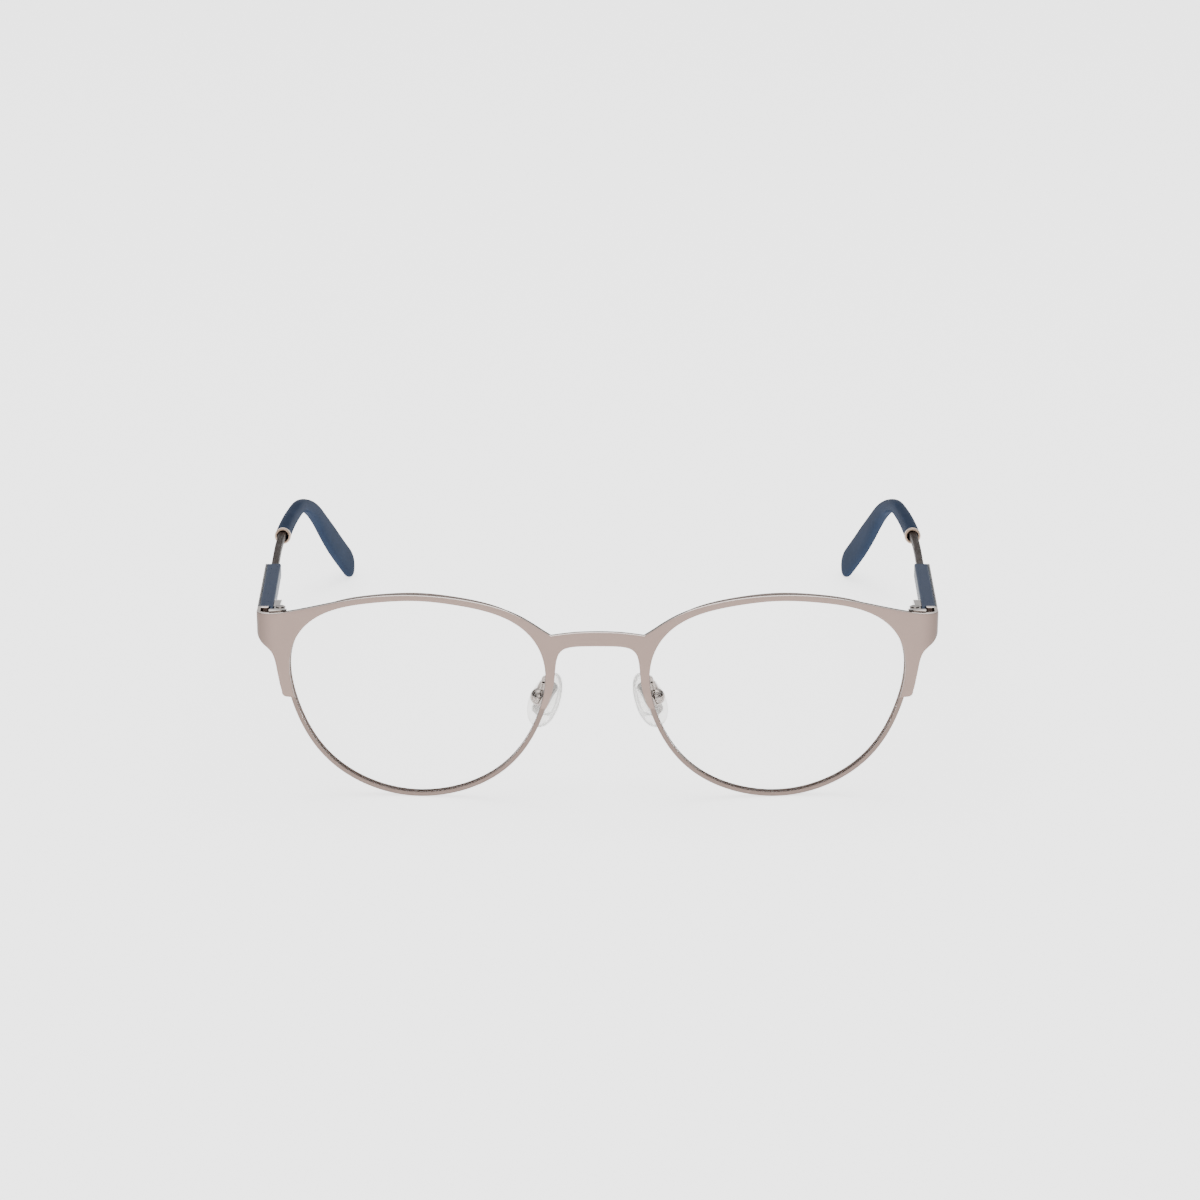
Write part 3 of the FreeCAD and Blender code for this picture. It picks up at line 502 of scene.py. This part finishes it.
def leg_recede(s, w, depth):
    """The legs' lower ends feather out: the front face sinks towards the eyewire."""
    if abs(s) < 13 and w < 23.6:
        k = min(1.0, (23.6 - w) / 3.4)
        return max(depth, depth + (0.70 - 0.0) * k * (1 - depth / SHEET))
    return depth


def build_plate():
    right = half_outline()
    left = [(-s, w) for s, w in reversed(right)]
    poly = right[:-1] + [(0.0, right[-1][1])] + left[1:-1]
    if abs(right[0][0]) > 1e-6:
        poly = [(0.0, right[0][1])] + poly
    R = 0.20
    steps = [(R * (1 - math.sin(math.radians(a))), R * (1 - math.cos(math.radians(a)))) for a in (0, 25, 50, 72, 90)]
    rings = []                           # (inset, depth) from the front's middle to the back
    for ins, dep in steps:
        rings.append((ins, dep))
    for ins, dep in reversed(steps):
        rings.append((ins, SHEET - dep))
    n = len(poly)
    verts, faces = [], []
    polys = {}
    for ins, dep in rings:
        if round(ins, 5) not in polys:
            polys[round(ins, 5)] = offset_poly(poly, ins)
        for s, w in polys[round(ins, 5)]:
            verts.append(on_sheet(s, w, leg_recede(s, w, dep)))
    for i in range(len(rings) - 1):
        for j in range(n):
            k = (j + 1) % n
            faces.append((i * n + j, i * n + k, (i + 1) * n + k, (i + 1) * n + j))
    # faces of the sheet, filled over inner points so that the bends stay round
    edge = polys[round(steps[0][0], 5)]
    pts = []
    s = -S_END
    grid_s = []
    while s < S_END:
        a = abs(s)
        grid_s.append(s)
        s += 0.22 if a > 63.5 else (1.1 if a < 60 else 0.6)
    w = 20.6
    rows = []
    while w < 45:
        rows.append(w)
        w += 0.9
    for a in grid_s:
        for b in rows:
            if inside(edge, a, b):
                d2 = min((a - p[0]) ** 2 + (b - p[1]) ** 2 for p in edge[::2])
                if d2 > 0.16:
                    pts.append((a, b))
    co = [Vector(p) for p in edge] + [Vector(p) for p in pts]
    ed = [(i, (i + 1) % n) for i in range(n)]
    vs, es, fs, vo, eo, fo = delaunay_2d_cdt(co, ed, [list(range(n))], 2, 1e-7)
    for side in (0, 1):
        dep = 0.0 if side == 0 else SHEET
        off = len(verts)
        idx = []
        for k, v in enumerate(vs):
            orig = [q for q in vo[k] if q < n]
            if orig:
                idx.append(orig[0] if side == 0 else (len(rings) - 1) * n + orig[0])
            else:
                verts.append(on_sheet(v.x, v.y, leg_recede(v.x, v.y, dep)))
                idx.append(len(verts) - 1)
        for f in fs:
            g = [idx[q] for q in f]
            if len(set(g)) == 3:
                faces.append(tuple(g) if side == 0 else tuple(reversed(g)))
    verts = [front(*v) for v in verts]
    ob = make("front_plate_skin", verts, faces, M_FRONT, "front", ["front_plate"], sharp=60)
    me = ob.data
    me.materials.append(M_EDGE_HIGHLIGHT)
    me.materials.append(M_SHADE_DARK)
    me.materials.append(M_SIDE)
    a = math.radians(TILT)
    for f in me.polygons:
        c = f.center * 1000
        y, z = c.y - BACK, c.z - LIFT
        n, w = y * math.cos(a) + z * math.sin(a), -y * math.sin(a) + z * math.cos(a)
        q = f.normal
        # the sheet's normal at this place
        x = abs(c.x)
        if n < 4.0 and x < 66.5:
            g = math.asin(min(1.0, x / FRONT_R)) if x < 62 else math.radians(7 + (x - 62) * 4)
            flat = abs(q.y * math.cos(g) - math.copysign(1, c.x) * q.x * math.sin(g))
        else:
            flat = 1.0 if abs(q.z) < 0.5 and f.area > 0 else 0.0
        top = q.z > 0.25
        if flat < 0.30:
            f.material_index = 3
            # the endpieces' upward-facing edges take the painted highlight
            if top and (x > 63.2):
                f.material_index = 1
            # the top edge over 9.6 to 18 mm and 52 to 63.2 mm takes the painted dark shade
            elif top and (9.6 < x < 18.0 or x > 52.0):
                f.material_index = 2
        # upward-facing front bevels take the painted highlight
        elif flat < 0.93 and top and n < n_front(x) + 0.45:
            f.material_index = 1
        # the back and inner faces inside the endpiece wrap take the painted dark shade
        elif (n > n_front(x) + 0.55 and x > 63.0) and (q.y > 0.3 or (x < 68.2 and q.x * c.x < 0)):
            f.material_index = 2
    return ob


build_plate()

# ---------------------------------------------------------------------------
# Eyewires, lenses
# ---------------------------------------------------------------------------


def rim_section():
    """(inset, depth) points round the grooved wire, rounded at every corner."""
    d0, d1 = SHEET, SHEET + RIM_DEPTH
    r = 0.16
    g0, g1 = 1.55 - 0.35, 1.55 + 0.35
    pts = []

    def corner(cx, cy, rad, a0, a1, k=4):
        for i in range(k + 1):
            a = math.radians(a0 + (a1 - a0) * i / k)
            pts.append((cx + rad * math.cos(a), cy + rad * math.sin(a)))
    # inset grows inwards; start outside front
    corner(r * 1.5, d0 + r * 1.5, r * 1.5, 180, 270)
    corner(RIM_FACE - r, d0 + r, r, 270, 360)
    corner(RIM_FACE - 0.07, g0 - 0.07, 0.07, 0, 90, 2)
    pts.append((0.56, g0))
    pts.append((0.50, g0 + 0.06))
    pts.append((0.50, g1 - 0.06))
    pts.append((0.56, g1))
    corner(RIM_FACE - 0.07, g1 + 0.07, 0.07, -90, 0, 2)
    corner(RIM_FACE - r, d1 - r, r, 0, 90)
    corner(r * 1.5, d1 - r * 1.5, r * 1.5, 90, 180)
    return pts


SECTION = rim_section()


def lock_angle():
    """Polar angle where the eyewire is split."""
    best = min((abs(rim_point(math.pi - 0.8 + 1.6 * i / 4000, 0.5)[1] - LOCK_W), math.pi - 0.8 + 1.6 * i / 4000)
               for i in range(4001))
    return best[1]


A_LOCK = lock_angle()


def build_rim(side, sgn):
    gap = 0.065 / 25.0
    K = 300
    rings = []
    for i in range(K + 1):
        a = A_LOCK + gap + (2 * math.pi - 2 * gap) * i / K
        rings.append([front(*on_rim(a, ins, dep)) for ins, dep in SECTION])
    v, f = rings_to_mesh(rings)
    ob = make(side + "_eyewire_skin", v, f, M_RIM, "front", [side + "_eyewire"], sgn, sharp=50)
    ob.data.materials.append(M_GROOVE_SHADE)
    a = math.radians(TILT)
    for p in ob.data.polygons:
        c = p.center * 1000
        y, z = c.y - BACK, c.z - LIFT
        n, w = y * math.cos(a) + z * math.sin(a), -y * math.sin(a) + z * math.cos(a)
        depth = n - n_front(abs(c.x))
        # towards the lens's middle, and not the two rounded corners
        d = Vector((LENS_CX - abs(c.x), LENS_CW - w)).normalized()
        q = Vector((p.normal.x * (1 if c.x > 0 else -1), p.normal.z))
        if q.dot(d) > 0.55 and SHEET + 0.12 < depth < SHEET + RIM_DEPTH - 0.12:
            # the inward groove faces take the painted groove shade
            p.material_index = 1
    return ob


_al = math.asin(LENS_CX / FRONT_R)
AXIS = Vector((-math.sin(_al), math.cos(_al), 0))
_sag = LENS_R - math.sqrt(LENS_R ** 2 - 21.4 ** 2)
SPHERE = Vector((LENS_CX, n_front(LENS_CX), LENS_CW)) + AXIS * (SHEET + RIM_DEPTH / 2 - _sag) + AXIS * LENS_R


def lens_n(x, w, off):
    """n where the lens's surface, off behind its middle surface, stands at (x, w)."""
    R = LENS_R - off
    d2 = (x - SPHERE.x) ** 2 + (w - SPHERE.z) ** 2
    return SPHERE.y - math.sqrt(R * R - d2)


def build_lens(side, sgn):
    K, J = 160, 16
    cx, cw = LENS_CX + 0.2, LENS_CW + 0.3
    rim = [rim_point(2 * math.pi * i / K, RIM_FACE + 0.05) for i in range(K)]
    ton = [rim_point(2 * math.pi * i / K, RIM_FACE - 0.36) for i in range(K)]
    verts, faces = [], []

    def surface(off, flip):
        base = len(verts)
        verts.append(front(cx, lens_n(cx, cw, off), cw))
        for j in range(1, J + 1):
            k = (j / J) ** 0.9
            for x, w in rim:
                xx, ww = cx + (x - cx) * k, cw + (w - cw) * k
                verts.append(front(xx, lens_n(xx, ww, off), ww))
        for i in range(K):
            a, b = base + 1 + i, base + 1 + (i + 1) % K
            faces.append((base, a, b) if not flip else (base, b, a))
        for j in range(J - 1):
            for i in range(K):
                a = base + 1 + j * K + i
                b = base + 1 + j * K + (i + 1) % K
                c, d = b + K, a + K
                faces.append((a, d, c, b) if not flip else (a, b, c, d))
        return base + 1 + (J - 1) * K
    e0 = surface(-LENS_T / 2, False)
    e1 = surface(LENS_T / 2, True)
    chain = [e0]
    for pts, off in ((rim, -0.30), (ton, -0.24), (ton, 0.24), (rim, 0.30)):
        b = len(verts)
        for x, w in pts:
            verts.append(front(x, lens_n(x, w, off), w))
        chain.append(b)
    chain.append(e1)
    for p, q in zip(chain[:-1], chain[1:]):
        for i in range(K):
            k = (i + 1) % K
            faces.append((p + i, q + i, q + k, p + k))
    return make(side + "_lens_skin", verts, faces, M_LENS, "front", [side + "_lens"], sgn, sharp=30)


for side, sgn in (("left", 1), ("right", -1)):
    build_rim(side, sgn)
    build_lens(side, sgn)

# ---------------------------------------------------------------------------
# Temples
# ---------------------------------------------------------------------------


def temple_x(t):
    return TEMPLE_X0 + TEMPLE_SPLAY * t - INWARD_Q * max(0.0, t - INWARD_T) ** 2


def temple_line(t):
    a = math.radians(BEND_A)
    ta = BEND_T - BEND_R * math.tan(a / 2)
    arc = BEND_R * a
    if t <= ta:
        y, h, ang = t, 0.0, 0.0
    elif t <= ta + arc:
        ang = (t - ta) / BEND_R
        y, h = ta + BEND_R * math.sin(ang), -BEND_R * (1 - math.cos(ang))
    else:
        ang = a
        rest = t - ta - arc
        y = ta + BEND_R * math.sin(a) + rest * math.cos(a)
        h = -BEND_R * (1 - math.cos(a)) - rest * math.sin(a)
    return Vector((temple_x(t), y, h)), Vector((0, math.sin(ang), math.cos(ang)))


def frange(a, b, n):
    return [a + (b - a) * i / n for i in range(n + 1)]


def tip_dims(t):
    u = min(1.0, max(0.0, (t - 66.0) / 79.0))
    if t < 102.0:
        v = max(0.0, (t - TIP_START) / (102.0 - TIP_START))
        b = TIP_B[0] + (TIP_B[1] - TIP_B[0]) * v * v * (3 - 2 * v)
    else:
        v = min(1.0, (t - 102.0) / 26.0)
        b = TIP_B[1] + (TIP_B[2] - TIP_B[1]) * (0.35 * v + 0.65 * v * v * (3 - 2 * v))
    return TIP_A[0] + (TIP_A[1] - TIP_A[0]) * u, b


def build_tip(side, sgn):
    st = frange(TIP_START, 84, 22) + frange(84.8, 124, 62) + frange(124.9, TEMPLE_L - 5.0, 20)
    end = [TEMPLE_L - 4.2 + 4.18 * math.sin(math.radians(a))
           for a in (0, 10, 20, 30, 40, 50, 58, 65, 71, 76, 80, 84, 87, 89)]
    NS = 48
    rings = []

    def ring(t, ka, kb, drop):
        c, up = temple_line(t)
        a, b = tip_dims(t)
        out = []
        e = 2.5
        for i in range(NS):
            an = 2 * math.pi * i / NS
            ca, sa = math.cos(an), math.sin(an)
            x = a * ka * math.copysign(abs(ca) ** (2 / e), ca)
            z = b * kb * math.copysign(abs(sa) ** (2 / e), sa)
            q = c + Vector((x, 0, 0)) + up * (z - drop)
            out.append(temple(q.x, q.y, q.z))
        return out
    # hollow mouth: inner wall, rounded lip, then the outside
    c, up = temple_line(TIP_START)
    inner = []
    for dt, r in ((3.0, 1.1), (2.6, 1.38), (0.25, 1.40), (0.06, 1.44)):
        inner.append([temple(c.x + r * math.cos(2 * math.pi * i / NS), TIP_START + dt,
                             -TIP_DROP + r * math.sin(2 * math.pi * i / NS)) for i in range(NS)])
    rings += inner
    drop = lambda t: TIP_DROP * (1 - min(1.0, max(0.0, t - TIP_START) / 12.0))
    rings.append(ring(TIP_START, 0.90, 0.90, TIP_DROP))
    rings.append(ring(TIP_START + 0.04, 0.96, 0.96, TIP_DROP))
    rings.append(ring(TIP_START + 0.14, 0.99, 0.99, TIP_DROP))
    for t in st[1:]:
        rings.append(ring(t, 1, 1, drop(t)))
    for t in end:
        k = math.sqrt(max(0.0, 1 - ((t - TEMPLE_L + 4.2) / 4.2) ** 2))
        ka = 1.0 if t < TEMPLE_L - 2.9 else math.sqrt(max(0.0, 1 - ((t - TEMPLE_L + 2.9) / 2.92) ** 2))
        rings.append(ring(t, max(ka, 0.05), max(k, 0.05), 0.0))
    v, f = rings_to_mesh(rings)
    return make(side + "_tip_sleeve", v, f, M_TIP, side + "_temple", [side + "_temple_tip"], sgn, sharp=60,
                weighted=False)


def sweep_box(t0, t1, sec, stations, cap_round=0.0):
    rings = []
    for t in stations:
        k = 1.0
        if cap_round:
            e = min(t - t0, t1 - t)
            if e < cap_round:
                k = 1 - cap_round * (1 - math.sqrt(max(0.0, 1 - (1 - e / cap_round) ** 2))) / max(abs(p[0]) for p in sec)
        c, up = temple_line(t)
        ring = []
        for x, z in sec:
            q = c + Vector((x * k, 0, 0)) + up * (z * k)
            ring.append(temple(q.x, q.y, q.z))
        rings.append(ring)
    return rings_to_mesh(rings)


def build_core(side, sgn):
    sec = round_rect(CORE_HALF, CORE_HALF, 0.26, 5)
    st = frange(4.0, 84, 40) + frange(85, 126, 60)
    v, f = sweep_box(4.0, 126.0, sec, st)
    return make(side + "_core_wire", v, f, M_GUN, side + "_temple", [side + "_temple_core"], sgn, sharp=70)


def build_collar(side, sgn):
    """Rolled ring in the tip's mouth, lip turned outwards."""
    c, up = temple_line(TIP_START)
    NS = 64
    prof = [(1.405, -0.02)]
    for a in range(0, 181, 20):
        prof.append((1.49 - 0.27 * math.cos(math.radians(a)), -0.83 - 0.27 * math.sin(math.radians(a))))
    prof += [(1.76, -0.12), (1.70, -0.02), (1.55, 0.0)]
    rings = []
    for r, y in prof:
        rings.append([temple(c.x + r * math.cos(2 * math.pi * i / NS), TIP_START + y,
                             -TIP_DROP + r * math.sin(2 * math.pi * i / NS)) for i in range(NS)])
    v, f = rings_to_mesh(rings, closed=True)
    return make(side + "_collar_ring", v, f, M_COLLAR, side + "_temple", [side + "_tip_collar"], sgn,
                sharp=50)


for side, sgn in (("left", 1), ("right", -1)):
    build_tip(side, sgn)
    build_core(side, sgn)
    build_collar(side, sgn)

# ---------------------------------------------------------------------------
# CAD nodes kept as they are: softened edges and their materials
# ---------------------------------------------------------------------------


def soften(node, mat, width=0.08, segs=3, angle=32, decimate=True):
    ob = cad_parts[node]
    ob.data.materials.clear()
    ob.data.materials.append(mat)
    if decimate:
        d = ob.modifiers.new("flat", "DECIMATE")
        d.decimate_type = "DISSOLVE"
        d.angle_limit = math.radians(2.0)
        d.delimit = {"NORMAL"}
    b = ob.modifiers.new("edge", "BEVEL")
    b.width = width * 0.001
    b.segments = segs
    b.limit_method = "ANGLE"
    b.angle_limit = math.radians(angle)
    b.use_clamp_overlap = True
    b.harden_normals = False
    w = ob.modifiers.new("normals", "WEIGHTED_NORMAL")
    w.keep_sharp = False
    for p in ob.data.polygons:
        p.use_smooth = True
    return ob


for side in ("left", "right"):
    s = side + "_"
    soften(s + "temple_block", M_BLUE, 0.10)
    soften(s + "block_trim", M_TRIM, 0.06)
    soften(s + "hinge_front", M_CHROME, 0.10)
    soften(s + "hinge_temple", M_CHROME, 0.16, 4)
    soften(s + "hinge_screw", M_CHROME, 0.05)
    soften(s + "lock_block_upper", M_LOCK, 0.10)
    soften(s + "lock_block_lower", M_LOCK, 0.10)
    soften(s + "lock_screw", M_CHROME, 0.04)
    soften(s + "pad_screw", M_NICKEL, 0.03)
    soften(s + "pad_insert", M_NICKEL, 0.06)
    soften(s + "nose_pad", M_PAD, 0.05)


def build_cup(side, sgn):
    """Round cup behind the pad: a ball with an open mouth and two flats for the screw."""
    c = BOX_P - 0.22
    prof = []
    for k in range(0, 25):
        a = math.radians(180 - k * (180 - 40.0) / 24)
        prof.append((CUP_R * math.sin(a), c + CUP_R * math.cos(a)))
    prof += [(1.10, c + 1.44), (1.00, c + 1.40), (0.95, c + 1.30), (0.95, c - 0.55), (0.80, c - 0.68)]
    NS = 56
    rings = []
    for r, y in prof:
        ring = []
        for i in range(NS):
            m, l = r * math.cos(2 * math.pi * i / NS), r * math.sin(2 * math.pi * i / NS)
            if r > 1.2:
                m = max(-1.56, min(1.56, m))
            ring.append(pad(BOX_M + m, y, BOX_L + l))
        rings.append(ring)
    rings[0] = [pad(BOX_M + 0.02 * math.cos(2 * math.pi * i / NS), c - CUP_R, BOX_L + 0.02 * math.sin(2 * math.pi * i / NS))
                for i in range(NS)]
    v, f = rings_to_mesh(rings)
    return make(side + "_pad_cup", v, f, M_NICKEL, "front", [side + "_pad_box"], sgn, sharp=40)


def build_arm(side, sgn):
    """Bent wire from the eyewire to the cup, widening into the cup."""
    cup = Vector(PAD_C) + M_DIR * BOX_M + P_DIR * (BOX_P - 0.22) + L_DIR * BOX_L
    end = cup + Vector((-0.15, 0.5, 0.6))
    ctrl = [Vector((10.60, 2.25, 26.2)), Vector((10.62, 3.1, 26.05)), Vector((10.60, 4.25, 25.5)),
            Vector((10.85, 5.15, 24.6)), Vector((11.12, 5.65, 23.7)), end]
    P = [2 * ctrl[0] - ctrl[1]] + ctrl + [2 * ctrl[-1] - ctrl[-2]]
    path = []
    for i in range(1, len(P) - 2):
        p0, p1, p2, p3 = P[i - 1:i + 3]
        for j in range(9):
            t = j / 9
            path.append(0.5 * ((2 * p1) + (p2 - p0) * t + (2 * p0 - 5 * p1 + 4 * p2 - p3) * t * t
                               + (3 * p1 - p0 - 3 * p2 + p3) * t ** 3))
    path.append(ctrl[-1])
    NS = 28
    rings = []
    n = len(path)
    u = Vector((1, 0, 0))
    for i, c in enumerate(path):
        d = (path[min(n - 1, i + 1)] - path[max(0, i - 1)]).normalized()
        u = (u - d * u.dot(d)).normalized()
        w = d.cross(u)
        k = max(0.0, (i / (n - 1) - 0.62) / 0.38)
        r = ARM_R + 0.62 * k ** 1.8
        if i / (n - 1) < 0.10:
            r = ARM_R * (1.18 - 1.8 * i / (n - 1))
        ring = []
        for a in range(NS):
            q = c + u * (r * math.cos(2 * math.pi * a / NS)) + w * (r * math.sin(2 * math.pi * a / NS))
            ring.append(front(q.x, q.y, q.z))
        rings.append(ring)
    v, f = rings_to_mesh(rings)
    return make(side + "_pad_wire", v, f, M_NICKEL, "front", [side + "_pad_arm"], sgn, sharp=60)


for side, sgn in (("left", 1), ("right", -1)):
    build_cup(side, sgn)
    build_arm(side, sgn)

# ---------------------------------------------------------------------------
# Stage, light, camera
# ---------------------------------------------------------------------------
bpy.ops.mesh.primitive_plane_add(size=8.0, location=(0, 1.5, 0))
floor = bpy.context.object
floor.name = "floor"
fm = bpy.data.materials.new("floor_white")
fm.use_nodes = True
fb = fm.node_tree.nodes["Principled BSDF"]
fb.inputs["Base Color"].default_value = (0.93, 0.93, 0.93, 1)
fb.inputs["Roughness"].default_value = 0.9
fb.inputs["Specular IOR Level"].default_value = 0.1
fb.inputs["Emission Color"].default_value = (1.0, 1.0, 1.0, 1)
fb.inputs["Emission Strength"].default_value = 1.9
floor.data.materials.append(fm)

world = bpy.data.worlds.new("studio")
bpy.context.scene.world = world
world.use_nodes = True
wt = world.node_tree
bg = wt.nodes["Background"]
bg.inputs["Strength"].default_value = 1.0
tcw = wt.nodes.new("ShaderNodeTexCoord")
sep = wt.nodes.new("ShaderNodeSeparateXYZ")
wt.links.new(tcw.outputs["Generated"], sep.inputs["Vector"])
up_map = wt.nodes.new("ShaderNodeMapRange")
up_map.interpolation_type = "SMOOTHSTEP"
up_map.inputs["From Min"].default_value = 0.05
up_map.inputs["From Max"].default_value = 0.75
up_map.inputs["To Min"].default_value = 0.45
up_map.inputs["To Max"].default_value = 1.3
wt.links.new(sep.outputs["Z"], up_map.inputs["Value"])
absx = wt.nodes.new("ShaderNodeMath")
absx.operation = "ABSOLUTE"
wt.links.new(sep.outputs["X"], absx.inputs[0])
side_map = wt.nodes.new("ShaderNodeMapRange")
side_map.interpolation_type = "SMOOTHSTEP"
side_map.inputs["From Min"].default_value = 0.35
side_map.inputs["From Max"].default_value = 0.9
side_map.inputs["To Min"].default_value = 1.0
side_map.inputs["To Max"].default_value = 0.30
wt.links.new(absx.outputs[0], side_map.inputs["Value"])
mul = wt.nodes.new("ShaderNodeMath")
mul.operation = "MULTIPLY"
wt.links.new(up_map.outputs["Result"], mul.inputs[0])
wt.links.new(side_map.outputs["Result"], mul.inputs[1])
# a pale band along the horizon carries the floor on into the backdrop
band = wt.nodes.new("ShaderNodeMapRange")
band.interpolation_type = "SMOOTHSTEP"
band.inputs["From Min"].default_value = -0.02
band.inputs["From Max"].default_value = 0.24
band.inputs["To Min"].default_value = 2.7
band.inputs["To Max"].default_value = 0.0
wt.links.new(sep.outputs["Z"], band.inputs["Value"])
both = wt.nodes.new("ShaderNodeMath")
both.operation = "ADD"
wt.links.new(mul.outputs[0], both.inputs[0])
wt.links.new(band.outputs["Result"], both.inputs[1])
wt.links.new(both.outputs[0], bg.inputs["Color"])


def area(name, loc, target, size, power, color=(1, 1, 1)):
    li = bpy.data.lights.new(name, "AREA")
    li.shape = "RECTANGLE"
    li.size, li.size_y = size
    li.energy = power
    li.color = color
    ob = bpy.data.objects.new(name, li)
    bpy.context.scene.collection.objects.link(ob)
    ob.location = loc
    d = Vector(target) - Vector(loc)
    ob.rotation_euler = d.to_track_quat("-Z", "Y").to_euler()
    return ob


area("key_top", (0.0, 0.05, 1.1), (0, 0, 0), (1.1, 0.8), 8.5)
area("front_fill", (0.0, -1.5, 0.75), (0, 0, 0.02), (1.2, 0.7), 6.0)

cam_data = bpy.data.cameras.new("camera")
cam_data.sensor_fit = "HORIZONTAL"
cam_data.sensor_width = 36.0
cam_data.lens = 36.0 * 3972.0 / 1200.0
cam_data.clip_start, cam_data.clip_end = 0.05, 50.0
cam = bpy.data.objects.new("camera", cam_data)
bpy.context.scene.collection.objects.link(cam)
cam.location = (0.0005035, -0.813380, 0.315130)
cam.rotation_euler = (math.radians(90 - 20.0384), 0, 0)
bpy.context.scene.camera = cam
